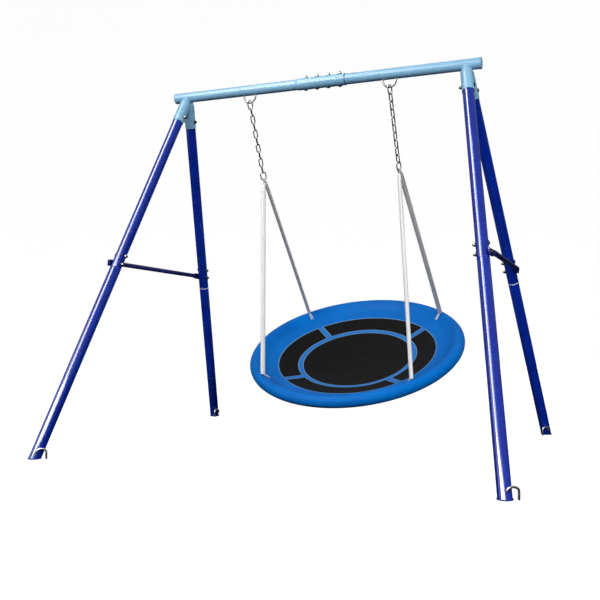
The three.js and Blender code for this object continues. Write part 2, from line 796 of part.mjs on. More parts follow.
// A ring of round section on the rim's line.
function ring(radius, sectionSides) {
  const profile = [];
  for (let k = 0; k < sectionSides; k += 1) {
    const angle = (2 * Math.PI * k) / sectionSides;
    profile.push([rimRadius + radius * Math.cos(angle), radius * Math.sin(angle)]);
  }
  return turned(profile, RIM_STEPS);
}

// The room a rope needs round the rim tube and up through the padding.
function ropeRoom({ rim, pin, down }) {
  const half = RIM_TUBE_RADIUS + 2 * CORD_RADIUS + CORD_PLAY + 1;
  const up = PAD_RADIUS + 20;
  const room = new THREE.BoxGeometry(half + up, 2 * half, 2 * CORD_RADIUS + 2);
  room.translate((half - up) / 2, 0, 0);
  return inPlace(room, rim.clone().sub(seat.position), aim(pin, down));
}

const rooms = ropes.map(ropeRoom);
const drain = rod(DRAIN_RADIUS, -RIM_TUBE_RADIUS - 1, 0).translate(rimRadius, 0, 0);
const rimTube = cut(ring(RIM_TUBE_RADIUS, 8), ring(RIM_TUBE_RADIUS - RIM_TUBE_WALL, 8), drain);
const foam = cut(ring(PAD_RADIUS, 10), ring(RIM_TUBE_RADIUS + GAP, 8), ...rooms);
const cover = cut(ring(COVER_RADIUS, 10), ring(COVER_RADIUS - COVER_THICKNESS, 10), ...rooms);
seat.add(
  named("rim_tube", rimTube, bareSteel),
  named("rim_foam", foam, padFoam),
  named("rim_cover", cover, azureFabric),
);

function mat() {
  const edge = rimRadius - COVER_RADIUS - GAP;
  const rows = 3;
  const under = [];
  const over = [];
  for (let k = 0; k <= rows; k += 1) {
    const radius = (edge * k) / rows;
    const height = MAT_DEPTH * ((radius / edge) ** 2 - 1);
    under.push([radius, height - MAT_THICKNESS]);
    over.push([radius, height]);
  }
  return turned([...under, ...over.reverse()], RIM_STEPS);
}

seat.add(named("seat_mat", mat(), matFabric));

// ---------------------------------------------------------------- origin under the middle of the box

group.updateMatrixWorld(true);
const box = new THREE.Box3().setFromObject(group, true);
const centre = box.getCenter(new THREE.Vector3());
group.position.set(-centre.x, -centre.y, 0);
group.updateMatrixWorld(true);

export default group;
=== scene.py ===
import math

import bmesh
import bpy
import numpy as np
from mathutils import Matrix, Vector, noise


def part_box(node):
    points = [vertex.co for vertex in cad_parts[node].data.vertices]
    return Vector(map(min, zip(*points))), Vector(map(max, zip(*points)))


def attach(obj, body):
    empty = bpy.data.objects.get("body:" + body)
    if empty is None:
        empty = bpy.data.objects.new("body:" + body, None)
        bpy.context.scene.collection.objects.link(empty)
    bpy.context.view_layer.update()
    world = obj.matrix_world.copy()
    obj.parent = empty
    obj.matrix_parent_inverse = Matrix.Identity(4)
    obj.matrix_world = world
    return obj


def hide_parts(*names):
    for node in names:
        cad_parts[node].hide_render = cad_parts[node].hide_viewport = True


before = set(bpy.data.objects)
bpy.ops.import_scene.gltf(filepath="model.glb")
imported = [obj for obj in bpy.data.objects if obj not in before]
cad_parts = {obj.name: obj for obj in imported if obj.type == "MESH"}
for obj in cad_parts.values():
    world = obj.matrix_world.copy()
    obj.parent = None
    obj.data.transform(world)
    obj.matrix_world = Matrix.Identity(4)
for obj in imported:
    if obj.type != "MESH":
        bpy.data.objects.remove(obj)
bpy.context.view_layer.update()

# Lengths are in millimetres up to the last step, and repeat the driving dimensions of the CAD part.
MM = 0.001
BEAM_HEIGHT = 1500
BEAM_HALF_LENGTH = 675
TUBE_RADIUS = 22
TUBE_WALL = 1.5
SLEEVE_RADIUS = 24.2
SLEEVE_START_X = -80
SLEEVE_END_X = 124
SWAGE_LENGTH = 12
BEAM_OVERLAP_START_X = -66
BEAM_BOLT_X = (-50, 0, 50, 100)
SIDE_X = 614
FOOT_X = 847
FOOT_Y = 697
STUB_RADIUS = 23.8
STUB_LENGTH = 134
STUB_NECK_RADIUS = 19.5
STUB_SHOULDER = 40
LEG_TOP = 54
STUB_BOLT_ALONG = 106
JOINT_BOLT_UP = 38
FOOT_CAP_RADIUS = 24.5
FOOT_CAP_THICKNESS = 3.5
BRACE_RADIUS = 9.5
BRACE_TAB = {"height": 27, "thickness": 8, "past": 27, "inside": 24, "blend": 22}
BOLT_RADIUS = 4
HEAD_RADIUS = 8.5
HEAD_HEIGHT = 4.5
NUT_RADIUS = 7.2
NUT_HEIGHT = 6.5
NUT_THREAD = 4
GAP = 0.3
HOOK_RADIUS = 3.8
HOOK_BEND = 17
HOOK_HEIGHT = 24
HANGER_X = 310
HANGER_ROD = 4
HANGER_HALF_WIDTH = 27
HANGER_DROP = 53
HANGER_LEG_TOP = 8
SWING_ANGLE = math.radians(26)
LINK_WIRE = 2.5
LINK_LENGTH = 36.5
LINK_HALF_WIDTH = 7.5
TOP_LINK_HALF_WIDTH = 10.5
CONNECTOR_HALF_WIDTH = 11.5
TOP_LINK_Z = 8
CHAIN_TOP_Z = -22.5
CHAIN_STEP = 31.65
CHAIN_LINKS = 9
CONNECTOR_Z = -306.2
ROPE_PIVOT_Z = -342.7
CHAIN_TWIST = {"left": {"top": 38, "chain": 55}, "right": {"top": 29, "chain": 29}}
SEAT_DROP = 1186
RIM_RADIUS = 480
PAD_RADIUS = 28
FOAM_RADIUS = 21.5
HOOP_RADIUS = 13
MAT_EDGE = 451.7
MAT_THICKNESS = 3
MAT_DEPTH = 76
ROPE_ANGLE = math.radians(44)
CORD_RADIUS = 2.5
CORD_SIDES = 12
CORD_OFFSET = 2.7
CORD_TURN = LINK_WIRE + CORD_RADIUS + 2.7
SLEEVE_TOP_GAP = 24
SLEEVE_BOTTOM_GAP = 33
SLEEVE_HALF_WIDTH = 11
SLEEVE_HALF_THICKNESS = 8

SIDES = {"left": -1, "right": 1}
ENDS = {
    "front": {"sign": -1, "seam": 868, "brace": 846},
    "back": {"sign": 1, "seam": 922, "brace": 866},
}
SPLAY = math.atan((FOOT_X - SIDE_X) / BEAM_HEIGHT)
PLANE_HEIGHT = math.hypot(FOOT_X - SIDE_X, BEAM_HEIGHT)
LEG_ANGLE = math.atan(FOOT_Y / PLANE_HEIGHT)
LEG_LENGTH = math.hypot(FOOT_Y, PLANE_HEIGHT)


def beam_middle():
    """The ground point under the middle of the beam, from the two hanger eyes."""
    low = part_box("hanger_eye_left")[0]
    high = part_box("hanger_eye_right")[1]
    return Vector(((low.x + high.x) / 2, (low.y + high.y) / 2, 0)) / MM


MIDDLE = beam_middle()


def shift(x, y, z):
    return Matrix.Translation(Vector((x, y, z)))


def turn(angle, axis):
    return Matrix.Rotation(angle, 4, axis)


def plane_matrix(side):
    """The plane of one pair of legs: +X outwards, +Z up the plane, origin on the beam axis."""
    half_turn = math.pi if side == "left" else 0
    place = Matrix.Translation(MIDDLE) @ shift(SIDES[side] * SIDE_X, 0, BEAM_HEIGHT)
    return place @ turn(half_turn, "Z") @ turn(-SPLAY, "Y")


def leg_matrix(side, end):
    """One leg: -Z runs down it from the beam axis."""
    return plane_matrix(side) @ turn(SIDES[side] * ENDS[end]["sign"] * LEG_ANGLE, "X")


BEAM = Matrix.Translation(MIDDLE) @ shift(0, 0, BEAM_HEIGHT)
SWING = Matrix.Translation(MIDDLE) @ shift(0, 0, BEAM_HEIGHT - HANGER_DROP) @ turn(SWING_ANGLE, "X")
SEAT = SWING @ shift(0, 0, -SEAT_DROP)


# ---- camera

CAMERA = Vector((1153.1, -3022.3, 517.7))  # from the ground point under the middle of the beam
YAW, PITCH, ROLL = -0.3858, 0.0243, 0.0026
LENS = 47.05


def add_object(name, data):
    made = bpy.data.objects.new(name, data)
    bpy.context.scene.collection.objects.link(made)
    return made


def camera():
    """Stands where the photograph was taken from, 22 degrees round to the right of the front."""
    data = bpy.data.cameras.new("camera")
    data.lens = LENS
    data.sensor_width = 36
    data.clip_end = 100
    made = add_object("camera", data)
    ahead = Vector((math.sin(YAW) * math.cos(PITCH), math.cos(YAW) * math.cos(PITCH), math.sin(PITCH)))
    right = Vector((math.cos(YAW), -math.sin(YAW), 0))
    up = right.cross(ahead)
    right, up = right * math.cos(ROLL) + up * math.sin(ROLL), up * math.cos(ROLL) - right * math.sin(ROLL)
    axes = Matrix((right, up, -ahead)).transposed().to_4x4()
    made.matrix_world = Matrix.Translation((CAMERA + MIDDLE) * MM) @ axes
    bpy.context.scene.camera = made


camera()


# ---- shapes: lists of points and faces

X_AXIS, Y_AXIS, Z_AXIS = Matrix.Identity(3)


def smooth(t):
    """Goes from 0 to 1 as t does, level at both ends."""
    return t * t * (3 - 2 * t)


def circle(radius, z, count):
    """Points round a circle about Z."""
    angles = [2 * math.pi * k / count for k in range(count)]
    return [(radius * math.cos(angle), radius * math.sin(angle), z) for angle in angles]


def lathe(profile, segments=64, closed=False):
    """Revolves (radius, z) pairs about Z. A radius of 0 is a pole."""
    points, faces, rings = [], [], []
    for radius, z in profile:
        start = len(points)
        if radius < 1e-6:
            points.append((0, 0, z))
            rings.append([start] * segments)
        else:
            points.extend(circle(radius, z, segments))
            rings.append(list(range(start, start + segments)))
    pairs = list(zip(rings, rings[1:]))
    if closed:
        pairs.append((rings[-1], rings[0]))
    for low, high in pairs:
        for k in range(segments):
            n = (k + 1) % segments
            corners = []
            for index in (low[k], low[n], high[n], high[k]):
                if index not in corners:
                    corners.append(index)
            if len(corners) > 2:
                faces.append(corners)
    return points, faces


def eased(corners, size, steps=4, closed=True):
    """Rounds the corners of a 2-D outline."""
    count = len(corners)
    result = []
    for i, corner in enumerate(corners):
        here = Vector(corner)
        if not closed and i in (0, count - 1):
            result.append(tuple(here))
            continue
        before = Vector(corners[i - 1]) - here
        after = Vector(corners[(i + 1) % count]) - here
        cut = min(size, before.length * 0.45, after.length * 0.45)
        first = here + before.normalized() * cut
        last = here + after.normalized() * cut
        for k in range(steps + 1):
            t = k / steps
            result.append(tuple(first * (1 - t) ** 2 + here * 2 * t * (1 - t) + last * t * t))
    return result


def rings_to_shape(rings, closed=False):
    """Faces between rings of equal count, with flat ends unless closed."""
    count = len(rings[0])
    points = [tuple(p) for ring in rings for p in ring]
    faces = []
    rows = len(rings) if closed else len(rings) - 1
    for row in range(rows):
        low, high = row * count, ((row + 1) % len(rings)) * count
        for k in range(count):
            n = (k + 1) % count
            faces.append([low + k, low + n, high + n, high + k])
    if not closed:
        faces.append(list(range(count))[::-1])
        faces.append(list(range(len(points) - count, len(points))))
    return points, faces


def arc(centre, first, second, radius, start, stop, steps):
    """Points round a centre, from one angle to another, in the plane of two directions."""
    points = []
    for k in range(steps + 1):
        angle = start + (stop - start) * k / steps
        points.append(centre + first * (radius * math.cos(angle)) + second * (radius * math.sin(angle)))
    return points


def sweep(line, radii, sides=16, closed=False, start=None):
    """A round bar along a line of points, turning as little as it can on the way."""
    line = [Vector(p) for p in line]
    count = len(line)
    if not hasattr(radii, "__len__"):
        radii = [radii] * count
    tangents = []
    for i in range(count):
        before = line[i - 1] if closed or i > 0 else line[0]
        after = line[(i + 1) % count] if closed or i < count - 1 else line[-1]
        tangents.append((after - before).normalized())
    normal = Vector(start) if start else tangents[0].orthogonal()
    rings = []
    for point, tangent, radius in zip(line, tangents, radii):
        normal = (normal - tangent * normal.dot(tangent)).normalized()
        other = tangent.cross(normal)
        ring = []
        for k in range(sides):
            angle = 2 * math.pi * k / sides
            ring.append(point + (normal * math.cos(angle) + other * math.sin(angle)) * radius)
        rings.append(ring)
    return rings_to_shape(rings, closed)


def moved(shape, matrix):
    points, faces = shape
    return [tuple(matrix @ Vector(p)) for p in points], faces


def merged(*shapes):
    points, faces = [], []
    for more_points, more_faces in shapes:
        start = len(points)
        points.extend(more_points)
        faces.extend([[start + i for i in face] for face in more_faces])
    return points, faces


def piece(name, shape, material, body, matrix=None, stands_for=(), sharp=35):
    """Makes the object, puts it in place and hangs it on its body."""
    points, faces = shape
    mesh = bpy.data.meshes.new(name)
    mesh.from_pydata([Vector(p) * MM for p in points], [], faces)
    mesh.validate()
    work = bmesh.new()
    work.from_mesh(mesh)
    bmesh.ops.recalc_face_normals(work, faces=work.faces)
    work.to_mesh(mesh)
    work.free()
    mesh.shade_smooth()
    mesh.set_sharp_from_angle(angle=math.radians(sharp))
    for one in material if isinstance(material, (list, tuple)) else [material]:
        mesh.materials.append(one)
    made = add_object(name, mesh)
    if matrix is not None:
        place = matrix.copy()
        place.translation = place.translation * MM
        made.matrix_world = place
    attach(made, body)
    if stands_for:
        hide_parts(*stands_for)
    return made


# ---- materials

def srgb(red, green, blue):
    channels = []
    for value in (red, green, blue):
        value = value / 255
        channels.append(value / 12.92 if value <= 0.04045 else ((value + 0.055) / 1.055) ** 2.4)
    return (*channels, 1)


class Finish:
    """A material's node tree, with short ways to add the usual nodes."""

    def __init__(self, name, **sockets):
        self.material = bpy.data.materials.new(name)
        self.material.use_nodes = True
        self.nodes = self.material.node_tree.nodes
        self.links = self.material.node_tree.links
        self.shader = self.nodes["Principled BSDF"]
        for socket, value in sockets.items():
            self.shader.inputs[socket.replace("_", " ")].default_value = value
        self.place = self.nodes.new("ShaderNodeTexCoord").outputs["Object"]

    def set(self, node, socket, value):
        if isinstance(value, bpy.types.NodeSocket):
            self.links.new(value, node.inputs[socket])
        else:
            node.inputs[socket].default_value = value

    def math(self, operation, a, b=0.0, clamp=False):
        node = self.nodes.new("ShaderNodeMath")
        node.operation = operation
        node.use_clamp = clamp
        self.set(node, 0, a)
        self.set(node, 1, b)
        return node.outputs[0]

    def split(self, vector):
        node = self.nodes.new("ShaderNodeSeparateXYZ")
        self.set(node, 0, vector)
        return node.outputs

    def scaled(self, x, y, z):
        node = self.nodes.new("ShaderNodeMapping")
        self.links.new(self.place, node.inputs["Vector"])
        node.inputs["Scale"].default_value = (x, y, z)
        return node.outputs[0]

    def noise(self, scale, detail=3.0, roughness=0.55, vector=None):
        node = self.nodes.new("ShaderNodeTexNoise")
        node.inputs["Scale"].default_value = scale
        node.inputs["Detail"].default_value = detail
        node.inputs["Roughness"].default_value = roughness
        self.links.new(vector or self.place, node.inputs["Vector"])
        return node.outputs["Fac"]

    def cells(self, scale, vector=None):
        node = self.nodes.new("ShaderNodeTexVoronoi")
        node.inputs["Scale"].default_value = scale
        self.links.new(vector or self.place, node.inputs["Vector"])
        return node.outputs["Color"]

    def range(self, value, low, high, to_low, to_high, smooth=False):
        node = self.nodes.new("ShaderNodeMapRange")
        node.interpolation_type = "SMOOTHSTEP" if smooth else "LINEAR"
        self.set(node, 0, value)
        for index, number in enumerate((low, high, to_low, to_high)):
            node.inputs[index + 1].default_value = number
        return node.outputs[0]

    def mix(self, share, first, second):
        """A mix of two colours, whose sockets are numbers 6, 7 and output 2."""
        node = self.nodes.new("ShaderNodeMix")
        node.data_type = "RGBA"
        self.set(node, 0, share)
        self.set(node, 6, first)
        self.set(node, 7, second)
        return node.outputs[2]

    def ramp(self, value, *stops):
        node = self.nodes.new("ShaderNodeValToRGB")
        band = node.color_ramp
        while len(band.elements) < len(stops):
            band.elements.new(0.5)
        for element, (position, colour) in zip(band.elements, stops):
            element.position = position
            element.color = colour
        self.links.new(value, node.inputs[0])
        return node.outputs[0]

    def colour(self, value):
        self.links.new(value, self.shader.inputs["Base Color"])

    def rough(self, scale, detail, low, high):
        """Roughness that drifts between two values from place to place."""
        mottled = self.range(self.noise(scale, detail), 0.3, 0.7, low, high)
        self.links.new(mottled, self.shader.inputs["Roughness"])
        return mottled

    def bump(self, height, depth_mm, strength=1.0):
        node = self.nodes.new("ShaderNodeBump")
        node.inputs["Strength"].default_value = strength
        node.inputs["Distance"].default_value = depth_mm * MM
        self.links.new(height, node.inputs["Height"])
        last = self.shader.inputs["Normal"].links
        if last:
            self.links.new(last[0].from_socket, node.inputs["Normal"])
        self.links.new(node.outputs[0], self.shader.inputs["Normal"])
        return self


def powder_coat(name, dark, light, roughness, coat=0.6):
    """Baked powder paint: a faint orange peel, dust and slight changes of depth."""
    f = Finish(name, Coat_Weight=coat, Coat_Roughness=0.08, Coat_IOR=1.9, Specular_IOR_Level=0.35)
    f.colour(f.ramp(f.noise(9, 5), (0.3, dark), (0.7, light)))
    f.rough(60, 4, roughness - 0.05, roughness + 0.06)
    f.bump(f.noise(420, 2), 0.02, 0.2)
    f.bump(f.noise(1900, 2), 0.008, 0.25)
    return f.material


def zinc_plate(name, dark, light, roughness):
    """Bright zinc: small spangles, a slight warm and cool drift, drawn-wire streaks."""
    f = Finish(name, Metallic=1.0)
    drift = f.ramp(f.noise(70, 4), (0.25, dark), (0.75, light))
    spangle = f.split(f.cells(300))[0]
    f.colour(f.mix(f.range(spangle, 0, 1, 0.0, 0.3), drift, light))
    f.rough(260, 5, roughness - 0.08, roughness + 0.12)
    f.bump(f.noise(900, 3), 0.03, 0.35)
    return f.material


def moulded(name, dark, light, roughness):
    f = Finish(name)
    f.colour(f.ramp(f.noise(90, 4), (0.3, dark), (0.7, light)))
    f.rough(500, 3, roughness - 0.06, roughness + 0.1)
    f.bump(f.noise(1400, 2), 0.04, 0.5)
    return f.material


def weave(f, pitch_mm, depth_mm):
    """The crossing threads of plain cloth, square in the piece's own X and Y."""
    x, y, _ = f.split(f.place)
    rate = 2 * math.pi / (pitch_mm * MM)
    across = f.math("SINE", f.math("MULTIPLY", x, rate))
    along = f.math("SINE", f.math("MULTIPLY", y, rate))
    height = f.math("MULTIPLY", across, along)
    f.bump(height, depth_mm, 0.6)
    return height


# The print on the seat, in metres from its middle.
DISC_RADIUS = 0.260
PANEL_INNER_RADIUS = 0.283
PANEL_OUTER_RADIUS = 0.374
SPOKE_HALF_WIDTH = 0.0145
BAND_PAINT_RADIUS = 0.380


def seat_print():
    """Coated woven cloth with its printed panels: a disc, a ring and four spokes on black."""
    f = Finish("printed_cloth", Sheen_Weight=0.02, Sheen_Roughness=0.5, Specular_IOR_Level=0.06)
    x, y, _ = f.split(f.place)
    across = f.math("ABSOLUTE", x)
    along = f.math("ABSOLUTE", y)
    radius = f.math("SQRT", f.math("ADD", f.math("MULTIPLY", x, x), f.math("MULTIPLY", y, y)))
    spoke = f.math(
        "ABSOLUTE",
        f.math(
            "SUBTRACT",
            f.math("MULTIPLY", across, math.sin(ROPE_ANGLE)),
            f.math("MULTIPLY", along, math.cos(ROPE_ANGLE)),
        ),
    )
    past_inner = f.math("SUBTRACT", radius, PANEL_INNER_RADIUS)
    before_outer = f.math("SUBTRACT", PANEL_OUTER_RADIUS, radius)
    beside_spoke = f.math("SUBTRACT", spoke, SPOKE_HALF_WIDTH)
    panel = f.math("MINIMUM", f.math("MINIMUM", past_inner, before_outer), beside_spoke)
    inside = f.math("MAXIMUM", panel, f.math("SUBTRACT", DISC_RADIUS, radius))
    black = f.range(inside, 0.0008, 0.0016, 0, 1, True)
    edge = f.range(inside, -0.0026, -0.0018, 0, 1, True)
    azure = f.ramp(f.noise(6, 5), (0.25, srgb(0, 103, 192)), (0.75, srgb(0, 115, 205)))
    lines = f.range(radius, BAND_PAINT_RADIUS - 0.004, BAND_PAINT_RADIUS + 0.004, 1, 0, True)
    drawn = f.mix(lines, azure, srgb(38, 118, 200))
    outlined = f.mix(edge, drawn, srgb(112, 152, 184))
    dark = f.ramp(f.noise(30, 4), (0.3, srgb(14, 13, 13)), (0.7, srgb(20, 18, 18)))
    f.colour(f.mix(black, outlined, dark))
    gloss = f.rough(120, 4, 0.42, 0.56)
    rougher = f.math("ADD", gloss, f.math("MULTIPLY", black, 0.2))
    f.set(f.shader, "Roughness", rougher)
    f.bump(f.noise(28, 4), 0.9, 0.25)
    weave(f, 1.1, 0.12)
    return f.material


def plain_cloth(name, dark, light):
    f = Finish(name, Sheen_Weight=0.2, Specular_IOR_Level=0.3)
    thread = weave(f, 1.1, 0.12)
    # The weave's hollows are painted darker than the thread tops: painted shade.
    f.colour(f.ramp(f.range(thread, -1, 1, 0, 1), (0.2, dark), (0.8, light)))
    f.rough(120, 4, 0.6, 0.8)
    return f.material


def braid():
    """Braided cord: strands that cross in a slanted pattern round each cord."""
    f = Finish("braided_cord", Sheen_Weight=0.3, Roughness=0.75)
    around, along, _ = f.split(f.nodes.new("ShaderNodeUVMap").outputs[0])
    strands_round = 4
    turn_per_metre = 1500
    turned = f.math("MULTIPLY", around, 2 * math.pi * strands_round)
    slanted = f.math("MULTIPLY", along, turn_per_metre)
    first = f.math("SINE", f.math("ADD", turned, slanted))
    second = f.math("SINE", f.math("SUBTRACT", turned, slanted))
    height = f.math("MAXIMUM", first, second)
    # The hollows between the strands are painted darker as painted shade; the strand tops keep the cord's
    # white.
    groove_shade, strand_white = srgb(150, 146, 136), srgb(240, 237, 228)
    f.colour(f.ramp(f.range(height, -1, 1, 0, 1), (0.1, groove_shade), (0.7, strand_white)))
    f.bump(height, 0.4, 0.8)
    return f.material


def sleeve_plastic(name, dark, light):
    """Soft extruded tube: faint lengthwise draw lines and a little light carried inside."""
    f = Finish(name, Subsurface_Weight=0.1, Subsurface_Scale=0.004, Coat_Weight=0.1)
    f.shader.inputs["Subsurface Radius"].default_value = (1, 1, 1)
    streaks = f.noise(60, 4, vector=f.scaled(6, 6, 0.15))
    f.colour(f.ramp(streaks, (0.3, dark), (0.7, light)))
    f.rough(80, 3, 0.32, 0.48)
    f.bump(streaks, 0.15, 0.4)
    return f.material


SKY = powder_coat("sky_paint", srgb(122, 172, 204), srgb(138, 186, 216), 0.38, coat=0.08)
ROYAL = powder_coat("royal_paint", srgb(2, 34, 140), srgb(5, 44, 158), 0.24)
NAVY = powder_coat("navy_paint", srgb(20, 20, 84), srgb(28, 28, 104), 0.3)
ZINC = zinc_plate("zinc_plate", srgb(188, 187, 180), srgb(224, 225, 224), 0.34)
BOLT_ZINC = zinc_plate("bolt_zinc", srgb(92, 91, 86), srgb(146, 145, 140), 0.3)
CHAIN_ZINC = zinc_plate("chain_zinc", srgb(140, 136, 126), srgb(190, 189, 184), 0.3)
FOOT = moulded("foot_plastic", srgb(8, 26, 112), srgb(14, 36, 136), 0.4)
# Light rings at the leg seams are painted highlights: near white on the back legs, lighter blue on the
# front ones.
SEAM_HIGHLIGHT_PALE = powder_coat("seam_highlight_pale", srgb(214, 220, 246), srgb(236, 240, 255), 0.4)
SEAM_HIGHLIGHT_BLUE = powder_coat("seam_highlight_blue", srgb(30, 52, 160), srgb(44, 66, 180), 0.3)
STEEL = zinc_plate("plain_steel", srgb(120, 122, 124), srgb(160, 162, 164), 0.35)
FOAM = moulded("pad_foam", srgb(86, 90, 94), srgb(104, 108, 112), 0.9)
PRINT = seat_print()
LINING = plain_cloth("lining_cloth", srgb(22, 22, 24), srgb(40, 40, 42))
THREAD = plain_cloth("seam_thread", srgb(18, 70, 150), srgb(40, 110, 200))
BRAID = braid()
PLASTIC = {
    "front": sleeve_plastic("sleeve_white", srgb(249, 248, 243), srgb(255, 254, 250)),
    # The back sleeves are the same white plastic as the front ones, coloured grey as painted shade.
    "back": sleeve_plastic("sleeve_white_painted_shade", srgb(196, 196, 194), srgb(214, 214, 212)),
}


# ---- stand

def wall(outer, inner, low, high, ease=0.7):
    """The closed section of a tube's wall, with its edges eased."""
    return eased([(inner, high), (inner, low), (outer, low), (outer, high)], ease)


def weld_round(axis_matrix, radius, other_radius, bead, count=120):
    """A weld bead where a tube of that radius, down -Z of its frame, meets the beam."""
    to_beam = BEAM.inverted() @ axis_matrix
    line = []
    for spot in circle(radius, 0, count):
        local = Vector(spot)
        low, high = -other_radius * 1.8, 0.0
        for _ in range(40):  # halves the gap until the point lies on the beam
            middle = (low + high) / 2
            there = to_beam @ (local + Vector((0, 0, middle)))
            if math.hypot(there.y, there.z) > other_radius:
                low = middle
            else:
                high = middle
        line.append(axis_matrix @ (local + Vector((0, 0, low))))
    radii = [bead * (1 + 0.12 * math.sin(k * 2.1)) for k in range(count)]  # a slightly lumpy bead
    return sweep(line, radii, 10, closed=True)


def stub_shape():
    """The socket that a leg goes into: a neck under the beam, a shoulder, and an open mouth."""
    inner = TUBE_RADIUS + GAP
    taper = 20
    outside = [(STUB_NECK_RADIUS, -6)]
    for k in range(13):
        radius = STUB_NECK_RADIUS + (STUB_RADIUS - STUB_NECK_RADIUS) * smooth(k / 12)
        outside.append((radius, -STUB_SHOULDER + taper * (1 - k / 12)))
    end = eased([(STUB_RADIUS, -STUB_LENGTH), (inner, -STUB_LENGTH)], 0.6, closed=False)
    mouth = [(STUB_RADIUS, -STUB_LENGTH + 0.6), *end, (inner, -STUB_LENGTH + 12)]
    return lathe(outside + mouth, 72)


def beam_shape(side):
    """Half of the beam with its two sockets and their welds. The left half widens over the right one."""
    inner = TUBE_RADIUS - TUBE_WALL
    outer_end = BEAM_HALF_LENGTH - 5
    if side == "right":
        tube = lathe(wall(TUBE_RADIUS, inner, BEAM_OVERLAP_START_X, outer_end), 96, closed=True)
    else:
        bore = TUBE_RADIUS + GAP
        swage = []
        for k in range(9):
            radius = TUBE_RADIUS + (SLEEVE_RADIUS - TUBE_RADIUS) * smooth(k / 8)
            swage.append((radius, SLEEVE_START_X - SWAGE_LENGTH * (1 - k / 8)))
        profile = [
            (inner, SLEEVE_START_X),
            (inner, -outer_end),
            (TUBE_RADIUS - 0.5, -outer_end),
            (TUBE_RADIUS, -outer_end + 0.6),
            *swage,
            (SLEEVE_RADIUS, SLEEVE_END_X - 0.8),
            (SLEEVE_RADIUS - 0.7, SLEEVE_END_X),
            (bore, SLEEVE_END_X),
            (bore, SLEEVE_START_X + SWAGE_LENGTH - 5),
        ]
        tube = lathe(profile, 96, closed=True)
    shapes = [moved(tube, BEAM @ turn(math.pi / 2, "Y"))]
    for end in ENDS:
        place = leg_matrix(side, end)
        shapes.append(moved(stub_shape(), place))
        shapes.append(weld_round(place, STUB_NECK_RADIUS, TUBE_RADIUS, 2.0))
    for x in (-HANGER_HALF_WIDTH, HANGER_HALF_WIDTH):
        rod = BEAM @ shift(SIDES[side] * HANGER_X + x, 0, 0)
        shapes.append(weld_round(rod, HANGER_ROD + 0.6, TUBE_RADIUS, 1.1, 48))
    return merged(*shapes)


for side in SIDES:
    piece(f"beam_half_{side}", beam_shape(side), SKY, "frame", None, [f"beam_{side}"])


def sleeve_end_shadow_shape():
    """A navy ring of painted shadow where the joint's sleeve ends on the tube."""
    end = SLEEVE_END_X
    section = [
        (SLEEVE_RADIUS - 0.2, end),
        (SLEEVE_RADIUS - 0.4, end + 1.0),
        (TUBE_RADIUS + 0.9, end + 2.0),
        (TUBE_RADIUS + 0.05, end + 2.2),
        (TUBE_RADIUS + 0.05, end),
    ]
    return lathe(section, 96, closed=True)


# A dark ring painted as the shadow at the end of the joint's sleeve.
piece("sleeve_end_painted_shadow", sleeve_end_shadow_shape(), NAVY, "frame", BEAM @ turn(math.pi / 2, "Y"), ())


def cap_shape():
    """A plug in the end of the beam, with a rounded lip and a shallow dish in its face."""
    face = BEAM_HALF_LENGTH
    tube_end = face - 5
    lip = TUBE_RADIUS + 0.8
    return lathe(
        [
            (TUBE_RADIUS - 3, tube_end - 8),
            (TUBE_RADIUS - 2, tube_end + 0.1),
            (lip - 0.5, tube_end + 0.35),
            (lip, tube_end + 0.9),
            (lip, face - 2.4),
            (lip - 0.5, face - 1.2),
            (lip - 1.6, face - 0.3),
            (lip - 3.2, face),
            (lip - 5.5, face - 0.25),
            (lip - 7, face - 0.8),
            (0, face - 0.8),
        ],
        96,
    )


for side in SIDES:
    place = BEAM @ turn(SIDES[side] * math.pi / 2, "Y")
    piece(f"end_cap_{side}", cap_shape(), SKY, "frame", place, [f"beam_cap_{side}"])


def upper_leg_shape(end):
    seam = ENDS[end]["seam"]
    return lathe(wall(TUBE_RADIUS, TUBE_RADIUS - TUBE_WALL, -seam, -LEG_TOP, 0.9), 96, closed=True)


def lower_leg_shape(side, end):
    """Straight tube from the seam down, cut level a little above the ground."""
    seam = ENDS[end]["seam"]
    place = leg_matrix(side, end)
    spigot = TUBE_RADIUS - TUBE_WALL - GAP
    top = -(seam + 0.9)
    profile = [
        (spigot, -seam + 30),
        (spigot, top - 0.1),
        (TUBE_RADIUS - 0.8, top),
        (TUBE_RADIUS - 0.2, top - 0.5),
        (TUBE_RADIUS, top - 1.2),
        (TUBE_RADIUS, -LEG_LENGTH + 30),
    ]
    segments = 96
    points, faces = lathe(profile, segments)
    last = len(points) - segments
    row = place[2]
    ground = FOOT_CAP_THICKNESS + GAP
    for k in range(segments):
        x, y, _ = points[last + k]
        z = (ground - row[3] - row[0] * x - row[1] * y) / row[2]
        points[last + k] = (x, y, z)
    return points, faces


def foot_shape(side, end):
    """A flat cap under the leg, with a plug that goes up into it."""
    foot = leg_matrix(side, end) @ Vector((0, 0, -LEG_LENGTH))
    outer = FOOT_CAP_RADIUS
    profile = [
        (0, 0),
        (outer - 1.2, 0),
        (outer - 0.3, 0.3),
        (outer, 1.1),
        (outer, FOOT_CAP_THICKNESS - 1.0),
        (outer - 0.4, FOOT_CAP_THICKNESS - 0.2),
        (outer - 1.4, FOOT_CAP_THICKNESS),
        (TUBE_RADIUS - 4, FOOT_CAP_THICKNESS + 0.2),
        (TUBE_RADIUS - 5, FOOT_CAP_THICKNESS + 6),
        (0, FOOT_CAP_THICKNESS + 6),
    ]
    return moved(lathe(profile, 72), shift(foot.x, foot.y, 0))


def seam_highlight_shape(end):
    """A thin ring over the rim of the upper tube, where it comes down on the lower one, coloured as a
    painted highlight.
    """
    seam = -ENDS[end]["seam"]
    section = [(-1.2, 0.3), (-1.2, -0.5), (-0.1, -0.5), (0.25, -0.1), (0.25, 2.7), (-0.1, 3.1)]
    return lathe([(TUBE_RADIUS + out, seam + up) for out, up in section], 96, closed=True)


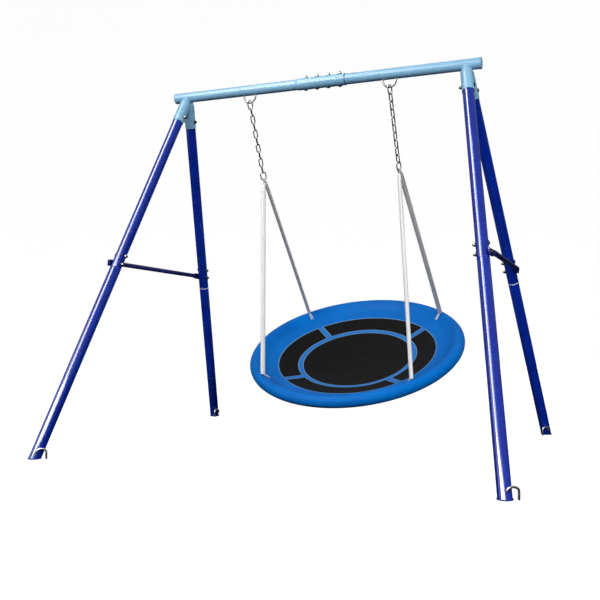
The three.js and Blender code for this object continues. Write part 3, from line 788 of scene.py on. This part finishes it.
def nut_shape(low, high, radius):
    """A hexagon nut with its corners turned down at both faces."""
    segments = 72
    rings = []
    flat = radius * math.cos(math.pi / 6)
    turned = [(1.2, 0), (0.25, 0.8), (0, 1.3)]
    levels = [(inset, low + up) for inset, up in turned]
    levels += [(inset, high - up) for inset, up in turned[::-1]]
    for inset, z in levels:
        ring = []
        for k in range(segments):
            angle = 2 * math.pi * k / segments
            fold = (angle % (math.pi / 3)) - math.pi / 6
            reach = min(flat / math.cos(fold), radius - inset)
            ring.append((reach * math.cos(angle), reach * math.sin(angle), z))
        rings.append(ring)
    return rings_to_shape(rings)


def bolt_shape(head_z, nut_z):
    """A domed bolt, its washer, its nut and the turns of thread past the nut."""
    base = head_z + GAP
    edge = base + 0.4
    dome = [(0, base), (HEAD_RADIUS - 0.3, base), (HEAD_RADIUS, edge)]
    for k in range(1, 12):
        angle = math.pi / 2 * k / 12
        radius = HEAD_RADIUS * math.cos(angle) ** 0.8
        dome.append((radius, edge + (HEAD_HEIGHT - 0.4) * math.sin(angle)))
    dome.append((0, base + HEAD_HEIGHT))
    face = nut_z - GAP
    under = face - 1.1
    end = face - NUT_HEIGHT - NUT_THREAD
    rim = HEAD_RADIUS - 0.4
    washer = eased([(BOLT_RADIUS, face), (BOLT_RADIUS, under), (rim, under), (rim, face)], 0.3)
    thread = [(0, end), (BOLT_RADIUS - 1.0, end)]
    z = end + 0.5
    while z < face - NUT_HEIGHT + 0.4:
        thread.extend([(BOLT_RADIUS - 0.55, z), (BOLT_RADIUS, z + 0.35)])
        z += 0.75
    thread.append((BOLT_RADIUS - 0.3, z))
    shank = [(BOLT_RADIUS - 0.3, z), (BOLT_RADIUS - 0.3, edge)]
    return merged(
        lathe(dome, 48),
        lathe(washer, 48, closed=True),
        nut_shape(face - NUT_HEIGHT, under, NUT_RADIUS),
        lathe(thread, 32),
        lathe(shank, 24),
    )


def bolt_piece(name, node, head_z, nut_z, place):
    piece(name, bolt_shape(head_z, nut_z), BOLT_ZINC, "frame", place, [node], sharp=28)


for number, x in enumerate(BEAM_BOLT_X, 1):
    place = BEAM @ shift(x, 0, 0) @ turn(math.pi, "X")
    bolt_piece(f"through_bolt_{number}", f"beam_bolt_{number}", SLEEVE_RADIUS, -SLEEVE_RADIUS, place)

# How each peg hook leaves its leg, as in the CAD part.
HOOKS = {
    "front_left": {"turn": 35, "hand": 1, "reach": 31},
    "back_left": {"turn": 78, "hand": -1, "reach": 31},
    "front_right": {"turn": 26, "hand": 1, "reach": 28},
    "back_right": {"turn": 35, "hand": -1, "reach": 38},
}


def hook_shape(hand, reach):
    """A rod straight out of the leg, over in a low bend to one hand, and down to the ground."""
    line = [(0, -6, 0), (0, 8 - reach, 0), (0, 3.5 - reach, 0.1), (0, 0.8 - reach, 1.2), (0, -reach, 3)]
    steps = 28
    for k in range(1, steps + 1):
        angle = math.pi - math.pi * k / steps
        x = hand * HOOK_BEND * (1 + math.cos(angle))
        line.append((x, -reach, 3 + HOOK_BEND * 0.72 * math.sin(angle)))
    bottom = GAP + 1 - HOOK_HEIGHT
    line += [(2 * hand * HOOK_BEND, -reach, bottom + up) for up in (2.4, 0.8, 0)]
    radii = [HOOK_RADIUS] * (len(line) - 2) + [HOOK_RADIUS * 0.9, HOOK_RADIUS * 0.62]
    return sweep(line, radii, 24, start=(1, 0, 0))


for side in SIDES:
    for end in ENDS:
        name = f"{end}_{side}"
        place = leg_matrix(side, end)
        brace_at = ENDS[end]["brace"]
        # The ring at the seam carries a painted highlight.
        edge = SEAM_HIGHLIGHT_PALE if end == "back" else SEAM_HIGHLIGHT_BLUE
        upper, lower = upper_leg_shape(end), lower_leg_shape(side, end)
        piece(f"seam_highlight_{name}", seam_highlight_shape(end), edge, "frame", place, ())
        piece(f"leg_upper_{name}", upper, ROYAL, "frame", place, [f"upper_leg_{name}"])
        piece(f"leg_lower_{name}", lower, ROYAL, "frame", place, [f"lower_leg_{name}"])
        foot = foot_shape(side, end)
        piece(f"foot_{name}", foot, FOOT, "frame", None, [f"foot_cap_{name}"])
        for kind, along, outer, inner in (
            ("stub_bolt", STUB_BOLT_ALONG, STUB_RADIUS, STUB_RADIUS),
            ("joint_bolt", brace_at - JOINT_BOLT_UP, TUBE_RADIUS, TUBE_RADIUS),
            ("brace_bolt", brace_at, TUBE_RADIUS + GAP + BRACE_TAB["thickness"], TUBE_RADIUS),
        ):
            spot = place @ shift(0, 0, -along) @ turn(math.pi / 2, "Y")
            bolt_piece(f"fixing_{kind}_{name}", f"{kind}_{name}", outer, -inner, spot)
        hook = HOOKS[name]
        hole = place @ Vector((0, 0, -LEG_LENGTH * (1 - HOOK_HEIGHT / BEAM_HEIGHT)))
        spot = Matrix.Translation(hole) @ turn(math.radians(hook["turn"]), "Z")
        shape = hook_shape(hook["hand"], hook["reach"])
        piece(f"peg_hook_{name}", shape, ZINC, "frame", spot, [f"ground_hook_{name}"])


def brace_shape(side):
    """A round tube pressed flat at both ends, where it is bolted to the legs."""
    spots = []
    for end in ENDS.values():
        y = SIDES[side] * end["sign"] * end["brace"] * math.sin(LEG_ANGLE)
        spots.append((y, -end["brace"] * math.cos(LEG_ANGLE)))
    spots.sort()
    (near_y, near_z), (far_y, far_z) = spots
    length = far_y - near_y
    inner = TUBE_RADIUS + GAP
    tip, start = -BRACE_TAB["past"], BRACE_TAB["inside"]
    stop = start + BRACE_TAB["blend"]
    rings = []
    stations = [(tip, 0.82), (tip + 0.6, 0.93), (tip + 2, 1.0)]  # (place along the tube, size)
    stations += [(y, 1.0) for y in np.linspace(tip + 6, start, 8)]
    stations += [(y, 1.0) for y in np.linspace(start, stop, 14)[1:]]
    half = len(stations)
    stations += [(length - y, size) for y, size in stations[::-1]]
    for index, (y, size) in enumerate(stations):
        inside = y if index < half else length - y
        t = smooth(min(1.0, max(0.0, (inside - start) / BRACE_TAB["blend"])))
        high = BRACE_TAB["height"] / 2 * (1 - t) + BRACE_RADIUS * t
        thick = BRACE_TAB["thickness"] / 2 * (1 - t) + BRACE_RADIUS * t
        power = 0.45 * (1 - t) + t  # 0.45 is nearly a rectangle, 1 is round
        middle = inner + thick
        z = near_z + (far_z - near_z) * y / length
        ring = []
        for k in range(48):
            angle = 2 * math.pi * k / 48
            c, s = math.cos(angle), math.sin(angle)
            across = math.copysign(abs(c) ** power, c) * thick * size
            up = math.copysign(abs(s) ** power, s) * high * size
            ring.append((middle + across, near_y + y, z + up))
        rings.append(ring)
    return rings_to_shape(rings[::-1])


for side in SIDES:
    place = plane_matrix(side)
    piece(f"cross_brace_{side}", brace_shape(side), NAVY, "frame", place, [f"brace_{side}"])


def hanger_shape():
    """A rod bent into a U, both its ends going up into the beam."""
    half = HANGER_HALF_WIDTH
    heights = (-HANGER_LEG_TOP, -TUBE_RADIUS)
    line = [(-half, 0, z) for z in heights]
    line += arc(Z_AXIS * (half - HANGER_DROP), X_AXIS, Z_AXIS, half, math.pi, 2 * math.pi, 40)
    line += [(half, 0, z) for z in heights[::-1]]
    return sweep(line, HANGER_ROD, 24, start=(0, 1, 0))


for side in SIDES:
    place = BEAM @ shift(SIDES[side] * HANGER_X, 0, 0)
    piece(f"eye_rod_{side}", hanger_shape(), BOLT_ZINC, "frame", place, [f"hanger_eye_{side}"])


# ---- chains

def link_shape(half_width, steps=14):
    """An oval link in the YZ plane, its upper bend's wire axis at z = 0, with a weld on one side."""
    upper = Z_AXIS * -half_width
    lower = Z_AXIS * (half_width - LINK_LENGTH)
    line = arc(upper, Y_AXIS, Z_AXIS, half_width, 0, math.pi, steps)
    radii = [LINK_WIRE] * len(line)
    for share in (0.3, 0.42, 0.46, 0.5, 0.54, 0.58, 0.7):
        line.append(upper.lerp(lower, share) - Y_AXIS * half_width)
        radii.append(LINK_WIRE * (1.12 if 0.43 < share < 0.57 else 1.0))
    line += arc(lower, Y_AXIS, Z_AXIS, half_width, math.pi, 2 * math.pi, steps)
    radii += [LINK_WIRE] * (steps + 1)
    return sweep(line, radii, 18, closed=True, start=(1, 0, 0))


def chain_piece(name, shape, node, side, z, twist=0):
    """A piece of one chain, which rides on the body that has its node's name."""
    place = SWING @ shift(SIDES[side] * HANGER_X, 0, z) @ turn(math.radians(-twist), "Z")
    piece(f"{name}_{side}", shape, CHAIN_ZINC, f"{node}_{side}", place, [f"{node}_{side}"])


for side in SIDES:
    twist = CHAIN_TWIST[side]
    links = []
    for k in range(CHAIN_LINKS):
        angle = math.radians(-(twist["chain"] + 90 * (k + 1)))
        links.append(moved(link_shape(LINK_HALF_WIDTH), shift(0, 0, -k * CHAIN_STEP) @ turn(angle, "Z")))
    chain_piece("first_link", link_shape(TOP_LINK_HALF_WIDTH), "top_link", side, TOP_LINK_Z, twist["top"])
    chain_piece("links", merged(*links), "chain", side, CHAIN_TOP_Z)
    last = link_shape(CONNECTOR_HALF_WIDTH)
    chain_piece("last_link", last, "connector", side, CONNECTOR_Z, twist["chain"])


# ---- seat

def dish(radius):
    """Height of the mat's top at a radius of the seat: a shallow bowl."""
    return MAT_DEPTH * ((radius / MAT_EDGE) ** 2 - 1)


BLEND_RADIUS = 418  # where the padded band turns into the flat cloth of the dish
LEAVE = math.radians(122)  # how far round the pad the cloth leaves it for the dish
SEAM = math.radians(-158)  # the seam under the pad


def band_section():
    """The padded band's section, from the dish over the pad to the seam beneath, as (radius, height)."""
    first = Vector((BLEND_RADIUS, dish(BLEND_RADIUS)))
    slope = 2 * MAT_DEPTH * BLEND_RADIUS / MAT_EDGE**2
    first_way = Vector((1, slope)).normalized()
    last = Vector((RIM_RADIUS + PAD_RADIUS * math.cos(LEAVE), PAD_RADIUS * math.sin(LEAVE)))
    last_way = Vector((math.sin(LEAVE), -math.cos(LEAVE)))
    first_pull, last_pull = 60, 52
    section = []
    steps = 10
    for k in range(steps):  # a Hermite curve, in line with the dish and the pad at its ends
        t = k / steps
        bend = first_way * (first_pull * t * (1 - t) ** 2) - last_way * (last_pull * t * t * (1 - t))
        section.append(first.lerp(last, smooth(t)) + bend)
    steps = 26
    for k in range(steps + 1):
        angle = LEAVE + (SEAM - LEAVE) * k / steps
        section.append(Vector((RIM_RADIUS + PAD_RADIUS * math.cos(angle), PAD_RADIUS * math.sin(angle))))
    steps = 5
    under = Vector((BLEND_RADIUS, dish(BLEND_RADIUS) - MAT_THICKNESS))
    seam = section[-1]
    for k in range(1, steps + 1):
        section.append(seam.lerp(under, k / steps))
    return section


ROPE_POINTS = {}  # where each rope's middle line meets the rim's tube
for rope_side in SIDES:
    for rope_end in ENDS:
        ROPE_POINTS[f"{rope_end}_{rope_side}"] = Vector((
            SIDES[rope_side] * RIM_RADIUS * math.cos(ROPE_ANGLE),
            ENDS[rope_end]["sign"] * RIM_RADIUS * math.sin(ROPE_ANGLE),
            0,
        ))

SLIT_RADIUS = 443  # where the ropes go in through the band, on its inner slope


def surface(radius):
    """Height of the band's top at a radius of the seat."""
    top = [spot for spot in band_section() if spot.y > dish(BLEND_RADIUS) - 0.5]
    for before, after in zip(top, top[1:]):
        if before.x <= radius < after.x:
            return before.y + (after.y - before.y) * (radius - before.x) / (after.x - before.x)
    raise ValueError(f"no band at radius {radius}")


def slit_spot(rim):
    """Where a rope goes through the band, given where it meets the rim: a little along from there."""
    side = 1 if rim.x > 0 else -1
    tangent = Vector((-rim.y, rim.x, 0)).normalized()
    hook = Vector((side * HANGER_X, 0, ROPE_PIVOT_Z + SEAT_DROP))
    up = (hook - rim).normalized()
    return rim.normalized() * SLIT_RADIUS + tangent * (tangent.dot(up) * SLEEVE_BOTTOM_GAP)


SLITS = {name: slit_spot(rim) for name, rim in ROPE_POINTS.items()}


def pull(point):
    """How far the ropes draw the cloth in: a funnel, a groove and a dent at each slit, and puckers."""
    drawn = 0.0
    for name, slit in SLITS.items():
        away = Vector((point.x, point.y, 0)) - slit
        outward = ROPE_POINTS[name].normalized()
        along = away.dot(outward)
        aside = (away - outward * along).length
        funnel = 3.0 * math.exp(-((along / 9) ** 2) - (aside / 12) ** 2)
        groove = 1.3 * math.exp(-((aside / 9) ** 2)) if -6 < along < 30 else 0
        dent = 1.1 * math.exp(-((away.length / 44) ** 2))
        fan = 0.5 + 0.5 * math.cos(math.atan2(aside, along) * 11)
        puckers = 0.9 * fan * math.exp(-(((away.length - 16) / 15) ** 2))
        drawn += funnel + groove + dent + puckers
    return drawn


def band_slack(spot, angle):
    """How far the band's cloth lies inside its smooth section, at a point of it and an angle round."""
    c, s = math.cos(angle), math.sin(angle)
    pad = max(0.0, min(1.0, (spot.x - 432) / 20))  # 0 on the dish, 1 on the padding
    height = max(0.0, spot.y / PAD_RADIUS)
    seed = Vector((c * 9, s * 9, spot.y * 0.02))
    fold = noise.noise(seed * 2.2) * 0.5 + noise.noise(seed * 6.0) * 0.35
    gather = math.sin(angle * 95 + 2.0 * math.sin(angle * 7)) * 0.18
    inner_edge = math.exp(-(((spot.x - 437) / 12) ** 2)) if spot.y > -12 else 0
    drawn = pull(Vector((spot.x * c, spot.x * s, spot.y)))
    return max(0.0, drawn * pad * height + 0.45 * abs(fold) * pad + gather * inner_edge)


def band_shape(segments=420):
    """The band's section carried round the seat, its two edges left where the dish joins them."""
    section = band_section()
    last = len(section) - 1
    rings = []
    for k in range(segments):
        angle = 2 * math.pi * k / segments
        ring = []
        for index, spot in enumerate(section):
            way = (section[(index + 1) % len(section)] - section[index - 1]).normalized()
            slack = 0.0 if index in (0, last) else band_slack(spot, angle)
            spot = spot - Vector((-way.y, way.x)) * slack
            ring.append((spot.x * math.cos(angle), spot.x * math.sin(angle), spot.y))
        rings.append(ring)
    return rings_to_shape(rings, closed=True)


def mat_shape(segments=240):
    """The dished cloth, with a little slack between its middle and its edge."""
    rows = 44
    radii = [BLEND_RADIUS * (k / rows) for k in range(rows + 1)]
    top = [(radius, dish(radius)) for radius in radii]
    under = [(radius, z - MAT_THICKNESS) for radius, z in top[::-1]]
    points, faces = lathe(top + under, segments)
    slack = []
    for x, y, z in points:
        radius = math.hypot(x, y)
        still = min(1.0, max(0.0, (BLEND_RADIUS - radius) / 60))
        seed = Vector((x * 0.006, y * 0.006, 3.0))
        slack.append((x, y, z - 1.6 * abs(noise.noise(seed)) * still))
    return slack, faces


band = piece("padded_band", band_shape(), PRINT, "seat", SEAT, ["rim_cover"], sharp=60)
cloths = [PRINT, LINING]
mat = piece("dished_cloth", mat_shape(), cloths, "seat", SEAT, ["seat_mat"], sharp=60)
for polygon in mat.data.polygons:
    if polygon.normal.z < -0.3:
        polygon.material_index = 1


def ring_shape(radius):
    """A round ring on the rim's middle line."""
    return sweep(circle(RIM_RADIUS, 0, 180), radius, 24, closed=True, start=(0, 0, 1))


piece("rim_hoop", ring_shape(HOOP_RADIUS), STEEL, "seat", SEAT, ["rim_tube"])
piece("rim_padding", ring_shape(FOAM_RADIUS), FOAM, "seat", SEAT, ["rim_foam"])


def stitches():
    """Two rows of stitches round the seam under the band."""
    shapes = []
    count = 460
    thread_radius = 0.4
    half = 2 * math.pi / count * 0.34
    for angle in (SEAM + 0.16, SEAM + 0.38):
        row_radius = RIM_RADIUS + (PAD_RADIUS + 0.1) * math.cos(angle)
        height = (PAD_RADIUS + 0.1) * math.sin(angle)
        for k in range(count):
            middle = 2 * math.pi * k / count
            line = []
            for t, lift in ((-1, 0.0), (0, 0.35), (1, 0.0)):
                spot = middle + half * t
                radius = row_radius - lift * 0.3
                line.append((radius * math.cos(spot), radius * math.sin(spot), height - lift))
            shapes.append(sweep(line, thread_radius, 5))
    return merged(*shapes)


piece("seam_stitches", stitches(), THREAD, "seat", SEAT, ())


# ---- ropes, in the frame of the swing

def rope_line(side, end):
    """Its ends at the connector and the rim, and the ways of its wire, its loop and its fall."""
    twist = math.radians(CHAIN_TWIST[side]["chain"])
    wire = Vector((math.sin(twist), math.cos(twist), 0))
    hook = Vector((SIDES[side] * HANGER_X, 0, ROPE_PIVOT_Z)) + wire * (ENDS[end]["sign"] * CORD_OFFSET)
    rim = ROPE_POINTS[f"{end}_{side}"] + Vector((0, 0, -SEAT_DROP))
    down = (rim - hook).normalized()
    tangent = Vector((-rim.y, rim.x, 0))
    pin = (tangent - down * tangent.dot(down)).normalized()
    return hook, rim, wire, pin, down


# How a strand comes out of its slit: how far out from it, above the cloth, and to its own side.
FROM_SLIT = [
    (-1.5, -7, 4.6),
    (-0.5, -2, 4.6),
    (2, 1.6, 4.5),
    (7, 2.6, 4.2),
    (13, 3.0, 3.8),
    (19, 3.6, 3.3),
]


def rope_route(side, end):
    """From under the band up one side of the loop, over the connector and down the other side."""
    hook, rim, wire, pin, down = rope_line(side, end)
    across = pin.cross(down)
    strand = CORD_RADIUS + GAP
    low = rim - down * (SLEEVE_BOTTOM_GAP + 5)
    high = hook + down * (SLEEVE_TOP_GAP + 6)
    name = f"{end}_{side}"
    outward = ROPE_POINTS[name].normalized()
    tangent = Vector((-outward.y, outward.x, 0))
    slit = SLITS[name]
    back = (-down + wire * down.dot(wire)).normalized()
    over = wire.cross(back)
    if over.dot(across) < 0:
        over = -over
    halves = []
    for hand in (1, -1):
        half = []
        for out, above, aside in FROM_SLIT:
            spot = slit + outward * out + tangent * (hand * aside)
            half.append(spot + Vector((0, 0, surface(SLIT_RADIUS + out) + above - SEAT_DROP)))
        half.append(rim - down * (SLEEVE_BOTTOM_GAP - 1) + tangent * (hand * strand))
        steps = 16
        for k in range(steps + 1):
            t = k / steps
            turned = tangent * math.cos(t * math.pi / 2) + across * math.sin(t * math.pi / 2)
            half.append(low.lerp(high, t) + turned * (hand * strand))
        halves.append(half)
    top = arc(hook, over, back, CORD_TURN, -0.25, math.pi + 0.25, 16)
    route = halves[0] + top + halves[1][::-1]
    over_top = range(len(halves[0]) - 1, len(halves[0]) + len(top) + 1)
    for _ in range(2):
        for i in range(1, len(route) - 1):
            if i not in over_top:
                route[i] = route[i] * 0.5 + (route[i - 1] + route[i + 1]) * 0.25
    return route


def refine(line, step):
    """The same line with a point at least every step."""
    fine = []
    for a, b in zip(line, line[1:]):
        count = max(1, int((b - a).length / step))
        fine.extend(a.lerp(b, k / count) for k in range(count))
    fine.append(line[-1])
    return fine


def add_uv(made, line):
    """Round the cord in U, and along it in metres in V, for its braid."""
    lengths = [0.0]
    for a, b in zip(line, line[1:]):
        lengths.append(lengths[-1] + (b - a).length * MM)
    layer = made.data.uv_layers.new(name="UVMap")
    for polygon in made.data.polygons:
        for loop in polygon.loop_indices:
            vertex = made.data.loops[loop].vertex_index
            row, column = divmod(vertex, CORD_SIDES)
            layer.data[loop].uv = (column / CORD_SIDES, lengths[row])


def sleeve_shape(length):
    """A slightly flat tube with rounded ends, open at both, down -Z from its top."""
    # (size, how far down): down the outside, and back up inside
    profile = [(0.70, -9), (0.78, -8.3), (0.82, -6), (0.90, 2), (0.96, 10), (0.99, 20)]
    profile += [(1.0 - 0.012 * math.sin(math.pi * t), length * t) for t in np.linspace(0.06, 0.94, 30)]
    for size, up in ((1.0, 12), (0.98, 6), (0.93, 1.8), (0.88, 0.6), (0.78, 0.0)):
        profile.append((size, length - up))
    profile += [(0.66, length - 0.2), (0.63, length - 1.5), (0.63, length - 22)]
    profile += [(0.60, 22), (0.58, -6), (0.62, -8.4)]
    rings = []
    for size, down in profile:
        ring = circle(size, -down, 48)
        rings.append([(SLEEVE_HALF_WIDTH * x, SLEEVE_HALF_THICKNESS * y, z) for x, y, z in ring])
    return rings_to_shape(rings[::-1], closed=True)


for side in SIDES:
    for end in ENDS:
        name = f"{end}_{side}"
        hook, rim, wire, pin, down = rope_line(side, end)
        line = refine(rope_route(side, end), 4)
        shape = moved(sweep(line, CORD_RADIUS, CORD_SIDES), SWING)
        cord = piece(f"cord_{name}", shape, BRAID, "seat", None, [f"rope_{name}"])
        add_uv(cord, line)
        length = (rim - hook).length - SLEEVE_TOP_GAP - SLEEVE_BOTTOM_GAP
        z_axis = -down
        x_axis = pin.cross(down)
        y_axis = z_axis.cross(x_axis)
        axes = Matrix((x_axis, y_axis, z_axis)).transposed().to_4x4()
        place = SWING @ Matrix.Translation(hook + down * SLEEVE_TOP_GAP) @ axes
        shape = sleeve_shape(length)
        piece(f"sleeve_{name}", shape, PLASTIC[end], "seat", place, [f"rope_sleeve_{name}"])


# ---- floor and light

def stage_material():
    """Nearly white by itself, so that it stays pale with no light aimed at it."""
    f = Finish("studio_floor", Roughness=0.9, Specular_IOR_Level=0.1)
    f.colour(f.ramp(f.noise(1.2, 3), (0.3, (0.20, 0.20, 0.204, 1)), (0.7, (0.22, 0.22, 0.223, 1))))
    f.shader.inputs["Emission Color"].default_value = (1, 1, 1, 1)
    f.shader.inputs["Emission Strength"].default_value = 0.95
    return f.material


def backdrop():
    """A round floor that curves up into a dome, seen only by the camera."""
    floor, height, curve = 11.0, 15.0, 3.0
    profile = [(0.0, 0.0), (floor, 0.0)]
    for k in range(1, 9):
        angle = math.pi / 2 * k / 8
        profile.append((floor + curve * math.sin(angle), curve - curve * math.cos(angle)))
    for k in range(1, 13):
        angle = math.pi / 2 * k / 12
        profile.append(((floor + curve) * math.cos(angle), curve + (height - curve) * math.sin(angle)))
    points, faces = lathe(profile, 64)
    mesh = bpy.data.meshes.new("backdrop")
    mesh.from_pydata([(x, y, z - 0.0005) for x, y, z in points], [], faces)
    mesh.shade_smooth()
    mesh.materials.append(stage_material())
    made = add_object("backdrop", mesh)
    made.visible_glossy = False
    made.visible_diffuse = False
    made.visible_shadow = False


def softbox(name, position, target, size, power, long_way=(0, 0, 1)):
    """A soft rectangle of light, its second side kept as near as can be to `long_way`."""
    light = bpy.data.lights.new(name, "AREA")
    light.shape = "RECTANGLE"
    light.size, light.size_y = size
    light.energy = power
    made = add_object(name, light)
    back = (Vector(position) - Vector(target)).normalized()
    across = Vector(long_way).cross(back).normalized()
    axes = Matrix((across, back.cross(across), back)).transposed().to_4x4()
    made.matrix_world = Matrix.Translation(Vector(position)) @ axes
    made.visible_camera = False
    return made


backdrop()
softbox("key", (-1.0, -5.6, 3.7), (0, 0, 0.8), (7.0, 1.3), 345)
softbox("fill", (4.6, -3.4, 2.0), (0, 0, 0.8), (1.6, 3.0), 150).visible_glossy = False
softbox("strip", (-4.4, -2.2, 1.9), (0, 0, 0.8), (0.8, 3.4), 24)
softbox("top", (-0.6, 1.2, 5.0), (0, 0, 0.5), (3.0, 2.4), 18)
softbox("back", (0.8, 6.2, 1.5), (0, 0, 0.8), (5.0, 1.6), 170).visible_glossy = False
# Two lights that only shine in the paint, each leaning so that its streak runs down a whole leg.
streaks = [
    softbox("streak_right", (-1.78, -2.6, 3.7), (0.7, -0.5, 0.8), (1.4, 4.6), 230, (0.1, 2.1, 2.62)),
    softbox("streak_left", (-0.75, -3.7, 3.75), (-0.74, -0.5, 0.8), (0.6, 4.4), 60, (0.43, 1.82, 2.61)),
]
for streak in streaks:
    streak.visible_diffuse = False


def studio_world():
    """A faint light from all round, dark at the floor and pale above."""
    world = bpy.data.worlds.new("studio")
    world.use_nodes = True
    nodes, links = world.node_tree.nodes, world.node_tree.links
    coordinates = nodes.new("ShaderNodeTexCoord")
    split = nodes.new("ShaderNodeSeparateXYZ")
    fade = nodes.new("ShaderNodeValToRGB")
    links.new(coordinates.outputs["Generated"], split.inputs[0])
    links.new(split.outputs[2], fade.inputs[0])
    links.new(fade.outputs[0], nodes["Background"].inputs["Color"])
    low, high = fade.color_ramp.elements
    low.position = 0.0
    low.color = (0.03, 0.035, 0.05, 1)
    high.position = 0.45
    high.color = (0.93, 0.95, 1.0, 1)
    nodes["Background"].inputs["Strength"].default_value = 0.22
    bpy.context.scene.world = world


studio_world()
bpy.context.scene.view_settings.view_transform = "Standard"
bpy.context.scene.view_settings.look = "None"
